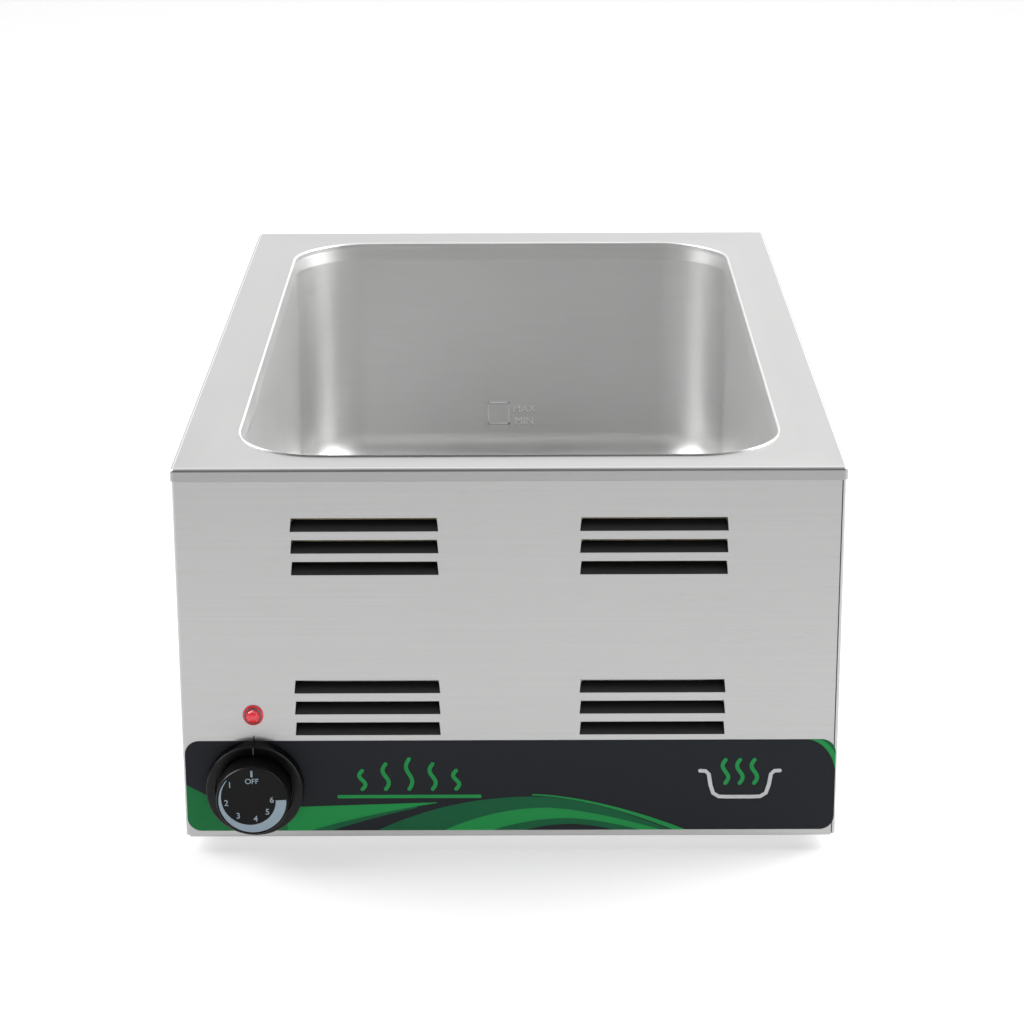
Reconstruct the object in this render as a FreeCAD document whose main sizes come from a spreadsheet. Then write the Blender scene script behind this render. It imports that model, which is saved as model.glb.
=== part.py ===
import FreeCAD, Part
import math
import os
import re

import Sketcher

# Countertop food warmer with one full-size water well.
# Millimetres. +Z is up, the control panel faces -Y, and the origin is on the surface the feet
# rest on, midway between the knob's face at the front and the cord gland's tip at the rear.

DIMENSIONS = {
    # outer sizes
    "deck_width": 363.2,
    "deck_depth": 565,
    "deck_top": 223.4,
    "foot_height": 7.2,
    "gauge": 0.8,
    "lip_drop": 7.2,
    "lip_corner": 2.8,
    "lip_bend": 1.5,
    # water well
    "well_width": 299.4,
    "well_length": 505.6,
    "well_shift": -3.7,
    "well_corner": 48,
    "well_depth": 165,
    "well_floor_bend": 25,
    "rim_bend": 1.2,
    "collar_drop": 12,
    # folded body sheets
    "seam_setback": 2.4,
    "corner_bend": 2,
    "lap": 20,
    "flange": 13,
    "flange_end": 16,
    "base_inset": 4,
    # louvres in the front panel
    "vent_inner": 38.9,
    "vent_length": 78.5,
    "vent_flare": 0.7,
    "vent_slot": 7.6,
    "vent_pitch": 12.4,
    "vent_upper": 195.3,
    "vent_lower": 101.7,
    "vent_flap": 5.3,
    # controls
    "control_x": -141.2,
    "knob_z": 39.1,
    "lamp_z": 81.4,
    "knob_proud": 21,
    "knob_radius": 20,
    "knob_skirt": 20.6,
    "bezel_radius": 27.1,
    "bezel_opening": 21.5,
    "bezel_proud": 7.5,
    "bezel_floor": 4.2,
    "spindle_radius": 3,
    "spindle_length": 35,
    "running_gap": 0.05,
    "lamp_radius": 5.75,
    "decal_half": 179.7,
    "decal_low": 12,
    "decal_high": 66,
    "decal_corner": 8,
    "decal_film": 0.25,
    # heating
    "element_radius": 4,
    "element_column": 30,
    "element_reach": 170,
    "element_start": 215,
    "tray_half": 108,
    "tray_reach": 222,
    "blanket": 10,
    # cord entry at the rear
    "gland_x": -120,
    "gland_z": 36,
    "gland_proud": 21,
    "cord_bore": 4.25,
}

doc = FreeCAD.newDocument("food_warmer")
sheet = doc.addObject("Spreadsheet::Sheet", "dims")
for row, (alias, value) in enumerate(DIMENSIONS.items(), 1):
    sheet.set(f"A{row}", alias)
    sheet.set(f"B{row}", str(value))
    sheet.setAlias(f"B{row}", alias)
doc.recompute()

# Expressions used in many places, written with the sheet's aliases.
BODY_X = "(deck_width / 2 - gauge)"
BODY_Y = "(deck_depth / 2 - gauge)"
BODY_LOW = "(foot_height + gauge)"
BODY_HIGH = "(deck_top - gauge)"
WELL_FLOOR = "(deck_top - well_depth)"
WELL_UNDER = "(deck_top - well_depth - gauge)"
PANEL = f"(-{BODY_Y})"
DECK_STUD_RADIUS = 2.0
TRAY_STUDS = [(side * 60, along * 150) for side in (-1, 1) for along in (-1, 0, 1)]
FOOT_SPOTS = [(x, y) for x in (-139, 139) for y in (-240.5, 240.5)]
BASE_SCREW_SPOTS = [(side * 170.5, y) for side in (-1, 1) for y in (-200, 0, 200)]
BASE_SCREW_SPOTS += [(x, end * 272) for x in (-60, 60) for end in (-1, 1)]
DECK_STUD_SPOTS = [(side * 173, y) for side in (-1, 1) for y in (-200, 0, 200)]
DECK_STUD_SPOTS += [(x, end * 274.2) for x in (-120, 0, 120) for end in (-1, 1)]

nodes = []


def qualified(expression):
    """Put the sheet's name in front of every alias in an expression."""
    def prefix(found):
        return "dims." + found.group() if found.group() in DIMENSIONS else found.group()
    return re.sub(r"[a-z][a-z_]*", prefix, str(expression))


def value_of(expression):
    return float(sheet.evalExpression(qualified(expression)))


def vector(x, y, z):
    return FreeCAD.Vector(value_of(x), value_of(y), value_of(z))


def bind(thing, **settings):
    """Bind properties to expressions; a double underscore stands for a dot."""
    for name, expression in settings.items():
        thing.setExpression(name.replace("__", "."), qualified(expression))
    return thing


def node(thing):
    """Register a finished sub-part."""
    nodes.append(thing)
    return thing


# ---------------------------------------------------------------- Part Design helpers


def new_body(label):
    return node(doc.addObject("PartDesign::Body", label))


def sketch_on(body, name, role="XY_Plane", offset="0"):
    """Sketch on one of the body's origin planes, moved along that plane's normal."""
    plane = next(feature for feature in body.Origin.OriginFeatures if feature.Role == role)
    sketch = body.newObject("Sketcher::SketchObject", name)
    sketch.AttachmentSupport = [(plane, "")]
    sketch.MapMode = "FlatFace"
    bind(sketch, AttachmentOffset__Base__z=offset)
    return sketch


def constrain(sketch, constraint, expression):
    number = sketch.addConstraint(constraint)
    sketch.setExpression(f"Constraints[{number}]", qualified(expression))


def pin_point(sketch, edge, end, x, y):
    for kind, expression in (("DistanceX", x), ("DistanceY", y)):
        start = value_of(expression)
        constrain(sketch, Sketcher.Constraint(kind, -1, 1, edge, end, start), expression)


def outline(sketch, points):
    """Closed polygon through points given as pairs of expressions."""
    first = sketch.GeometryCount
    places = [vector(x, y, 0) for x, y in points]
    count = len(points)
    for index in range(count):
        sketch.addGeometry(Part.LineSegment(places[index], places[(index + 1) % count]))
    for index in range(count):
        after = first + (index + 1) % count
        sketch.addConstraint(Sketcher.Constraint("Coincident", first + index, 2, after, 1))
    for index, (x, y) in enumerate(points):
        pin_point(sketch, first + index, 1, x, y)


def rectangle(sketch, left, right, low, high):
    outline(sketch, [(left, low), (right, low), (right, high), (left, high)])


def circle(sketch, x, y, radius):
    place = vector(x, y, 0)
    edge = sketch.addGeometry(Part.Circle(place, FreeCAD.Vector(0, 0, 1), value_of(radius)))
    constrain(sketch, Sketcher.Constraint("Radius", edge, value_of(radius)), radius)
    pin_point(sketch, edge, 3, x, y)


def rounded_rectangle(sketch, left, right, low, high, radius):
    """Four straight sides joined by tangent arcs of one radius."""
    first = sketch.GeometryCount
    x0, x1, y0, y1, bend = (value_of(part) for part in (left, right, low, high, radius))
    sides = [
        ((x0 + bend, y0), (x1 - bend, y0)),
        ((x1, y0 + bend), (x1, y1 - bend)),
        ((x1 - bend, y1), (x0 + bend, y1)),
        ((x0, y1 - bend), (x0, y0 + bend)),
    ]
    centres = [(x1 - bend, y0 + bend), (x1 - bend, y1 - bend), (x0 + bend, y1 - bend), (x0 + bend, y0 + bend)]
    for start, end in sides:
        sketch.addGeometry(Part.LineSegment(FreeCAD.Vector(*start, 0), FreeCAD.Vector(*end, 0)))
    for turn, centre in enumerate(centres):
        whole = Part.Circle(FreeCAD.Vector(*centre, 0), FreeCAD.Vector(0, 0, 1), bend)
        sketch.addGeometry(Part.ArcOfCircle(whole, (turn - 1) * math.pi / 2, turn * math.pi / 2))
    for turn in range(4):
        side = first + turn
        arc = first + 4 + turn
        next_side = first + (turn + 1) % 4
        sketch.addConstraint(Sketcher.Constraint("Tangent", side, 2, arc, 1))
        sketch.addConstraint(Sketcher.Constraint("Tangent", arc, 2, next_side, 1))
        sketch.addConstraint(Sketcher.Constraint("Vertical" if turn % 2 else "Horizontal", side))
        if turn:
            sketch.addConstraint(Sketcher.Constraint("Equal", first + 4, arc))
    constrain(sketch, Sketcher.Constraint("Radius", first + 4, bend), radius)
    constrain(sketch, Sketcher.Constraint("DistanceX", -1, 1, first + 1, 1, x1), right)
    constrain(sketch, Sketcher.Constraint("DistanceX", -1, 1, first + 3, 1, x0), left)
    constrain(sketch, Sketcher.Constraint("DistanceY", -1, 1, first, 1, y0), low)
    constrain(sketch, Sketcher.Constraint("DistanceY", -1, 1, first + 2, 1, y1), high)


def pad(body, sketch, length, reverse=False):
    feature = body.newObject("PartDesign::Pad", sketch.Name + "_pad")
    feature.Profile = (sketch, [""])
    feature.Reversed = reverse
    bind(feature, Length=length)
    doc.recompute()
    return feature


def pocket(body, sketch, length, reverse=False):
    """Cut, and make sure that something was cut."""
    before = body.Shape.Volume
    feature = body.newObject("PartDesign::Pocket", sketch.Name + "_pocket")
    feature.Profile = (sketch, [""])
    feature.Reversed = reverse
    bind(feature, Length=length)
    doc.recompute()
    if body.Shape.Volume >= before:
        raise RuntimeError(f"{sketch.Name} cut nothing")
    return feature


def spin(body, sketch, axis="V_Axis"):
    feature = body.newObject("PartDesign::Revolution", sketch.Name + "_spin")
    feature.Profile = (sketch, [""])
    feature.ReferenceAxis = (sketch, [axis])
    feature.Angle = 360
    doc.recompute()
    return feature


def fillet(body, radius, wanted):
    """Round the edges of the body's tip for which wanted(edge) is true."""
    tip = body.Tip
    names = [f"Edge{i}" for i, edge in enumerate(tip.Shape.Edges, 1) if wanted(edge)]
    if not names:
        raise RuntimeError(f"no edge to round on {body.Label}")
    feature = body.newObject("PartDesign::Fillet", f"{body.Name}_round")
    feature.Base = (tip, names)
    bind(feature, Radius=radius)
    doc.recompute()
    return feature


def edge_at(x=None, y=None, z=None):
    """Test for an edge that lies wholly on the given plane or planes."""
    limits = {"X": x, "Y": y, "Z": z}
    wanted = {axis: value_of(place) for axis, place in limits.items() if place is not None}

    def test(edge):
        bounds = edge.BoundBox
        return all(
            abs(getattr(bounds, axis + side) - place) < 0.01
            for axis, place in wanted.items() for side in ("Min", "Max"))
    return test


# ---------------------------------------------------------------- Part helpers


def place(thing, x="0", y="0", z="0", rotation=None):
    if rotation is not None:
        thing.Placement = FreeCAD.Placement(FreeCAD.Vector(), rotation)
    return bind(thing, Placement__Base__x=x, Placement__Base__y=y, Placement__Base__z=z)


TO_FRONT = FreeCAD.Rotation(FreeCAD.Vector(1, 0, 0), 90)
TO_REAR = FreeCAD.Rotation(FreeCAD.Vector(1, 0, 0), -90)


def block(name, size, corner):
    thing = doc.addObject("Part::Box", name)
    bind(thing, Length=size[0], Width=size[1], Height=size[2])
    return place(thing, *corner)


def rod(name, radius, length, start, rotation=None):
    thing = doc.addObject("Part::Cylinder", name)
    bind(thing, Radius=radius, Height=length)
    return place(thing, *start, rotation=rotation)


def hexagon(name, flats, length, start, rotation=None):
    thing = doc.addObject("Part::Prism", name)
    thing.Polygon = 6
    bind(thing, Circumradius=f"{flats} / sqrt(3)", Height=length)
    return place(thing, *start, rotation=rotation)


def fused(name, *shapes):
    thing = doc.addObject("Part::MultiFuse", name)
    thing.Shapes = list(shapes)
    return thing


def cut(name, base, *tools):
    thing = doc.addObject("Part::Cut", name)
    thing.Base = base
    thing.Tool = tools[0] if len(tools) == 1 else fused(name + "_tools", *tools)
    return thing


def group(label, prototype, spots, z):
    """One node holding separate copies of a fastener at the given places."""
    copies = []
    for index, (x, y) in enumerate(spots):
        copy = doc.addObject("App::Link", f"{label}_{index}")
        copy.LinkedObject = prototype
        copy.LinkTransform = True
        copies.append(place(copy, str(x), str(y), z))
    return collected(label, *copies)


def collected(label, *parts):
    compound = doc.addObject("Part::Compound", label)
    compound.Links = list(parts)
    return node(compound)


def shaped(label, shape):
    """Sub-part whose shape comes straight from the geometry kernel."""
    thing = doc.addObject("Part::Feature", label)
    thing.Shape = shape
    thing.Placement = FreeCAD.Placement()
    return node(thing)


def wire_tube(label, points, radius):
    """Tube along straight runs joined by the largest tangent arcs their lengths allow."""
    corners = [FreeCAD.Vector(*point) for point in points]
    edges = []
    start = corners[0]
    tightest = None
    for before, corner, after in zip(corners, corners[1:], corners[2:]):
        back = before - corner
        ahead = after - corner
        trim = 0.45 * min(back.Length, ahead.Length)
        half_turn = (math.pi - back.getAngle(ahead)) / 2
        bend = trim / math.tan(half_turn)
        tightest = bend if tightest is None else min(tightest, bend)
        enter = corner + FreeCAD.Vector(back).normalize() * trim
        leave = corner + FreeCAD.Vector(ahead).normalize() * trim
        inward = (FreeCAD.Vector(back).normalize() + FreeCAD.Vector(ahead).normalize()).normalize()
        middle = corner + inward * (bend / math.cos(half_turn) - bend)
        edges.append(Part.LineSegment(start, enter).toShape())
        edges.append(Part.Arc(enter, middle, leave).toShape())
        start = leave
    edges.append(Part.LineSegment(start, corners[-1]).toShape())
    path = Part.Wire(edges)
    direction = (corners[1] - corners[0]).normalize()
    section = Part.Wire(Part.Circle(corners[0], direction, radius).toShape())
    tube = path.makePipeShell([section], True, False)
    expected = math.pi * radius ** 2 * path.Length
    if abs(tube.Volume / expected - 1) > 0.01:
        raise RuntimeError(f"{label} has the wrong volume")
    bend_text = "straight" if tightest is None else f"tightest bend {tightest:.1f}"
    print(f"{label}: length {path.Length:.0f}, {bend_text}")
    return shaped(label, tube)


# ---------------------------------------------------------------- deck and well


def well_outline(sketch, spread):
    """The well's plan outline, moved outwards by spread."""
    half = f"(well_width / 2 + {spread})"
    reach = f"(well_length / 2 + {spread})"
    rounded_rectangle(sketch, f"-{half}", half, f"well_shift - {reach}", f"well_shift + {reach}",
                      f"well_corner + {spread}")


def make_deck():
    """Flat deck with a folded lip outside and a short drawn collar round the opening."""
    body = new_body("top_deck")
    half_x = "deck_width / 2"
    half_y = "deck_depth / 2"
    plate = sketch_on(body, "deck_plate", offset="deck_top - lip_drop")
    rounded_rectangle(plate, f"-{half_x}", half_x, f"-{half_y}", half_y, "lip_corner")
    pad(body, plate, "lip_drop")
    under = sketch_on(body, "deck_under", offset="deck_top - gauge")
    rounded_rectangle(under, f"-{BODY_X}", BODY_X, f"-{BODY_Y}", BODY_Y, "lip_corner - gauge")
    pocket(body, under, "lip_drop")
    collar = sketch_on(body, "deck_collar", offset="deck_top - gauge")
    well_outline(collar, "gauge")
    pad(body, collar, "collar_drop - gauge", reverse=True)
    opening = sketch_on(body, "deck_opening", offset="deck_top")
    well_outline(opening, "0")
    pocket(body, opening, "collar_drop + 1")
    fillet(body, "lip_bend", edge_on_deck_top(outside=True))
    fillet(body, "rim_bend", edge_on_deck_top(outside=False))
    return body


def edge_on_deck_top(outside):
    at_top = edge_at(z="deck_top")
    half_x = value_of("deck_width / 2")
    half_y = value_of("deck_depth / 2")

    def test(edge):
        bounds = edge.BoundBox
        beyond_x = max(abs(bounds.XMin), abs(bounds.XMax)) > half_x - 10
        beyond_y = max(abs(bounds.YMin), abs(bounds.YMax)) > half_y - 10
        return at_top(edge) and (beyond_x or beyond_y) == outside
    return test


def make_well():
    """Drawn tub, butt welded to the deck's collar."""
    body = new_body("water_well")
    height = "(well_depth + gauge - collar_drop)"
    outer = sketch_on(body, "well_outer", offset=WELL_UNDER)
    well_outline(outer, "gauge")
    pad(body, outer, height)
    inner = sketch_on(body, "well_inner", offset="deck_top - collar_drop")
    well_outline(inner, "0")
    pocket(body, inner, f"{height} - gauge")
    fillet(body, "well_floor_bend", edge_at(z=WELL_FLOOR))
    fillet(body, "well_floor_bend + gauge", edge_at(z=WELL_UNDER))
    return body


# ---------------------------------------------------------------- body sheets


def l_profile(sketch, turn):
    """Two walls of the body, a butt edge at one end and a lapped return at the other."""
    points = [
        (f"{BODY_X} - seam_setback", f"-{BODY_Y}"),
        (f"-{BODY_X}", f"-{BODY_Y}"),
        (f"-{BODY_X}", f"{BODY_Y} - gauge"),
        (f"-{BODY_X} + lap", f"{BODY_Y} - gauge"),
        (f"-{BODY_X} + lap", f"{BODY_Y} - 2 * gauge"),
        (f"-{BODY_X} + gauge", f"{BODY_Y} - 2 * gauge"),
        (f"-{BODY_X} + gauge", f"-{BODY_Y} + gauge"),
        (f"{BODY_X} - seam_setback", f"-{BODY_Y} + gauge"),
    ]
    outline(sketch, [(f"{turn} * ({x})", f"{turn} * ({y})") for x, y in points])


def flange_strips(sketch, turn):
    """Inward flanges along the end wall and the side wall, clear of each other at the corner."""
    strips = [
        (f"-{BODY_X} + flange_end", f"{BODY_X} - lap - 5", f"-{BODY_Y} + gauge / 2", f"-{BODY_Y} + flange"),
        (f"-{BODY_X} + gauge / 2", f"-{BODY_X} + flange", f"-{BODY_Y} + flange_end", f"{BODY_Y} - lap - 5"),
    ]
    for left, right, low, high in strips:
        corners = [(left, low), (right, low), (right, high), (left, high)]
        outline(sketch, [(f"{turn} * ({x})", f"{turn} * ({y})") for x, y in corners])


def holes_for(sketch, turn, spots, radius):
    """Holes at those spots that fall on this sheet's flanges."""
    for x, y in spots:
        on_end = abs(x) < 150 and y * turn < 0
        on_side = abs(x) > 150 and x * turn < 0
        if on_end or on_side:
            circle(sketch, x, y, radius)


def make_sheet(label, turn):
    """One L-shaped body sheet; the rear one is the front one turned half round."""
    body = new_body(label)
    walls = sketch_on(body, label + "_walls", offset=BODY_LOW)
    l_profile(walls, turn)
    pad(body, walls, f"{BODY_HIGH} - {BODY_LOW}")
    for end, offset in (("low", BODY_LOW), ("high", f"{BODY_HIGH} - gauge")):
        strips = sketch_on(body, f"{label}_{end}_flanges", offset=offset)
        flange_strips(strips, turn)
        pad(body, strips, "gauge")
    side = f"{-turn} * {BODY_X}"
    main_corner = edge_at(x=side, y=f"{-turn} * {BODY_Y}")
    lapped_corner = edge_at(x=side, y=f"{turn} * ({BODY_Y} - gauge)")
    fillet(body, "corner_bend", lambda edge: main_corner(edge) or lapped_corner(edge))
    inner_side = f"{-turn} * ({BODY_X} - gauge)"
    main_inside = edge_at(x=inner_side, y=f"{-turn} * ({BODY_Y} - gauge)")
    lapped_inside = edge_at(x=inner_side, y=f"{turn} * ({BODY_Y} - 2 * gauge)")
    fillet(body, "corner_bend - gauge", lambda edge: main_inside(edge) or lapped_inside(edge))
    deck_holes = sketch_on(body, label + "_deck_holes", offset=BODY_HIGH)
    holes_for(deck_holes, turn, DECK_STUD_SPOTS, "2.3")
    pocket(body, deck_holes, "gauge")
    base_holes = sketch_on(body, label + "_base_holes", offset=f"{BODY_LOW} + gauge")
    holes_for(base_holes, turn, BASE_SCREW_SPOTS, "1.85")
    pocket(body, base_holes, "gauge")
    return body


def vent_tops():
    """Height of each louvre slot's top edge."""
    return [f"{group} - {row} * vent_pitch" for group in ("vent_upper", "vent_lower") for row in range(3)]


def make_front_sheet():
    """Front panel and left side; each louvre's flap is folded 45 degrees in from its lower edge."""
    body = make_sheet("front_left_sheet", 1)
    slots = sketch_on(body, "vent_slots", "XZ_Plane", f"{BODY_Y}")
    for top in vent_tops():
        for side in (1, -1):
            inner = f"{side} * vent_inner"
            outer = f"{side} * (vent_inner + vent_length)"
            low = f"{top} - vent_slot"
            outline(slots, [
                (inner, top),
                (outer, top),
                (f"{side} * (vent_inner + vent_length + vent_flare)", low),
                (f"{side} * (vent_inner - vent_flare)", low),
            ])
    pocket(body, slots, "2 * gauge")
    flaps = sketch_on(body, "vent_flaps", "YZ_Plane", "vent_inner")
    for top in vent_tops():
        low = f"{top} - vent_slot"
        outline(flaps, [
            (PANEL, low),
            (f"{PANEL} + 0.7 * gauge", f"{low} - 0.7 * gauge"),
            (f"{PANEL} + vent_flap + 0.7 * gauge", f"{low} + vent_flap - 0.7 * gauge"),
            (f"{PANEL} + vent_flap", f"{low} + vent_flap"),
        ])
    louvres = pad(body, flaps, "vent_length")
    mirror = body.newObject("PartDesign::Mirrored", "louvres_left")
    mirror.Originals = [louvres]
    mirror.MirrorPlane = (next(f for f in body.Origin.OriginFeatures if f.Role == "YZ_Plane"), [""])
    body.Tip = mirror
    doc.recompute()
    controls = sketch_on(body, "control_holes", "XZ_Plane", BODY_Y)
    circle(controls, "control_x", "knob_z", "5.3")
    circle(controls, "control_x", "lamp_z", "4.8")
    for side in (-1, 1):
        circle(controls, f"control_x + {side} * 14", "knob_z", "2.2")
    pocket(body, controls, "2 * gauge")
    return body


def make_rear_sheet():
    """Rear panel and right side, with the cord gland's hole."""
    body = make_sheet("rear_right_sheet", -1)
    entry = sketch_on(body, "gland_hole", "XZ_Plane", f"-{BODY_Y}")
    circle(entry, "gland_x", "gland_z", "8.2")
    pocket(body, entry, "2 * gauge", reverse=True)
    return body


# ---------------------------------------------------------------- base


def make_base():
    plate_x = f"({BODY_X} - base_inset)"
    plate_y = f"({BODY_Y} - base_inset)"
    body = new_body("base_plate")
    plate = sketch_on(body, "base_outline", offset="foot_height")
    rounded_rectangle(plate, f"-{plate_x}", plate_x, f"-{plate_y}", plate_y, "6")
    for x, y in FOOT_SPOTS:
        circle(plate, x, y, "2.6")
    for x, y in BASE_SCREW_SPOTS:
        circle(plate, x, y, "2.1")
    for row in range(5):
        low = f"{-70 + 35 * row} - 2.5"
        rounded_rectangle(plate, "-45", "45", low, f"{low} + 5", "2.4")
    pad(body, plate, "gauge")
    return body


def revolved(name, points, axis_plane="XZ_Plane"):
    """Solid of revolution about +Z from points (radius, height), not itself a node."""
    body = doc.addObject("PartDesign::Body", name)
    sketch = sketch_on(body, name + "_profile", axis_plane)
    outline(sketch, points)
    spin(body, sketch)
    return body


def make_feet():
    foot = revolved("foot", [
        ("2.4", "foot_height"), ("11.5", "foot_height"), ("12.4", "foot_height - 1"), ("13", "1"),
        ("12", "0"), ("6.5", "0"), ("6.5", "3.4"), ("2.4", "3.4")])
    group("rubber_feet", foot, FOOT_SPOTS, "0")
    screw = fused("foot_screw", rod("foot_screw_head", "4", "1.8", ("0", "0", "0")),
                  rod("foot_screw_shank", "2", "12", ("0", "0", "0")))
    group("foot_screws", screw, FOOT_SPOTS, "1.6")
    group("foot_nuts", make_nut("foot_nut", "7", "3.2", "2.05"), FOOT_SPOTS, BODY_LOW)


def make_nut(name, flats, thick, bore):
    return cut(name, hexagon(name + "_hex", flats, thick, ("0", "0", "0")),
               rod(name + "_bore", bore, thick, ("0", "0", "0")))


def make_base_screws():
    screw = fused("base_screw", rod("base_screw_head", "3.8", "2", ("0", "0", "-2")),
                  rod("base_screw_shank", "1.8", "8", ("0", "0", "-1")))
    group("base_screws", screw, BASE_SCREW_SPOTS, "foot_height")


def make_deck_studs():
    stud = rod("deck_stud", str(DECK_STUD_RADIUS), "9", ("0", "0", "-9"))
    group("deck_weld_studs", stud, DECK_STUD_SPOTS, BODY_HIGH)
    nut = make_nut("deck_nut", "7", "3.2", "2.05")
    group("deck_nuts", nut, DECK_STUD_SPOTS, f"{BODY_HIGH} - gauge - 3.2")


# ---------------------------------------------------------------- control panel


def make_decal():
    body = new_body("front_decal")
    film = sketch_on(body, "decal_outline", "XZ_Plane", BODY_Y)
    rounded_rectangle(film, "-decal_half", "decal_half", "decal_low", "decal_high", "decal_corner")
    circle(film, "control_x", "knob_z", "22")
    pad(body, film, "decal_film")
    return body


def facing_front(name, points, z):
    """Solid of revolution about the control axis; heights run outwards from the panel face."""
    part = revolved(name, points)
    node(part)
    return place(part, "control_x", PANEL, z, rotation=TO_FRONT)


def make_bezel():
    facing_front("knob_bezel", [
        ("9", "2.9"), ("21", "2.9"), ("21", "decal_film"), ("bezel_radius", "decal_film"),
        ("bezel_radius - 0.4", "bezel_proud - 0.8"), ("bezel_radius - 1.2", "bezel_proud"),
        ("bezel_opening", "bezel_proud - 0.3"), ("bezel_opening", "bezel_floor"), ("9", "bezel_floor")],
        "knob_z")


def make_knob():
    """Hollow skirted knob with a boss that grips the spindle's flat."""
    knob = facing_front("thermostat_knob", [
        ("4.6", "7"), ("7", "7"), ("7", "knob_proud - 4"), ("knob_radius - 2.4", "knob_proud - 4"),
        ("knob_skirt - 2", "bezel_floor + 0.5"), ("knob_skirt", "bezel_floor + 0.5"),
        ("knob_radius", "knob_proud - 1"), ("knob_radius - 0.3", "knob_proud - 0.3"),
        ("knob_radius - 1", "knob_proud"), ("0", "knob_proud"), ("0", "knob_proud - 4.5"),
        ("4.6", "knob_proud - 4.5")], "knob_z")
    rise = "(knob_proud - 4.6)"
    insert = cut("knob_spring_sleeve", rod("sleeve_outer", "4.55", f"{rise} - 7.5", ("0", "0", "0")),
                 rod("sleeve_bore", "spindle_radius + 0.03", f"{rise} - 7.5", ("0", "0", "0")))
    node(place(insert, "control_x", f"{PANEL} - 7.5", "knob_z", rotation=TO_FRONT))
    shaft = rod("spindle_round", "spindle_radius", "spindle_length", ("0", "0", "0"))
    flat = block("spindle_flat", ("10", "10", "9"), ("-5", "1.6", "spindle_length - 9"))
    inner_end = f"{PANEL} + spindle_length - {rise} + 0.2"
    node(place(cut("thermostat_spindle", shaft, flat), "control_x", inner_end, "knob_z", rotation=TO_FRONT))
    return knob


def make_thermostat():
    body = new_body("thermostat_body")
    back = f"-{BODY_Y} + gauge"
    ears = sketch_on(body, "thermostat_ears", "XZ_Plane", f"-({back})")
    rounded_rectangle(ears, "control_x - 21", "control_x + 21", "knob_z - 9", "knob_z + 9", "4")
    for side in (-1, 1):
        circle(ears, f"control_x + {side} * 14", "knob_z", "1.85")
    pad(body, ears, "1.2", reverse=True)
    case = sketch_on(body, "thermostat_case", "XZ_Plane", f"-({back} + 7)")
    rounded_rectangle(case, "control_x - 21", "control_x + 21", "knob_z - 16", "knob_z + 15", "2")
    pad(body, case, "24", reverse=True)
    neck = sketch_on(body, "thermostat_neck", "XZ_Plane", f"-({back} + 7)")
    circle(neck, "control_x", "knob_z", "9")
    pad(body, neck, "7")
    bush = sketch_on(body, "thermostat_bush", "XZ_Plane", f"-({back})")
    circle(bush, "control_x", "knob_z", "5")
    pad(body, bush, "gauge + 1.8")
    bore = sketch_on(body, "thermostat_bore", "XZ_Plane", f"{BODY_Y} + 1.8")
    circle(bore, "control_x", "knob_z", "spindle_radius + running_gap")
    pocket(body, bore, "1.8 + 21.4")
    rear = f"{back} + 31"
    tabs = [block(f"thermostat_tab_{i}", ("6.3", "8", "0.8"),
                  (f"control_x - 14.5 + {i} * 11.5", rear, "knob_z - 9")) for i in range(3)]
    collected("thermostat_tabs", *tabs)
    screws = []
    for index, side in enumerate((-1, 1)):
        head = rod(f"control_screw_head_{index}", "3.4", "1.9", ("0", "0", "0"))
        shank = rod(f"control_screw_shank_{index}", "1.8", "5", ("0", "0", "-5"))
        screw = fused(f"control_screw_{index}", head, shank)
        screws.append(place(screw, f"control_x + {side} * 14", PANEL, "knob_z", rotation=TO_FRONT))
    collected("thermostat_screws", *screws)


def make_pilot_lamp():
    facing_front("pilot_lens", [
        ("0", "-6"), ("3.4", "-6"), ("3.4", "0"), ("lamp_radius", "0"), ("lamp_radius", "0.8"),
        ("lamp_radius - 0.7", "1.4"), ("3.9", "1.4"), ("3.9", "2.8"), ("3", "3.8"), ("0", "4.2")], "lamp_z")
    facing_front("pilot_ring", [
        ("4.15", "1.4"), ("4.9", "1.4"), ("4.9", "1.9"), ("4.6", "2.2"), ("4.15", "2.2")], "lamp_z")
    facing_front("pilot_body", [
        ("3.5", "-0.1"), ("4.5", "-0.1"), ("4.5", "-14"), ("0", "-14"), ("0", "-6.2"), ("3.5", "-6.2")],
        "lamp_z")
    facing_front("pilot_clip", [
        ("4.6", "-0.9"), ("7.5", "-0.9"), ("7.5", "-1.5"), ("5.6", "-2.6"), ("4.6", "-2.6")], "lamp_z")
    tabs = [block(f"pilot_tab_{i}", ("0.8", "4", "6"),
                  (f"control_x - 2.9 + {i} * 5", f"{PANEL} + 9", "lamp_z - 10.5")) for i in range(2)]
    collected("pilot_tabs", *tabs)


# ---------------------------------------------------------------- heating


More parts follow.
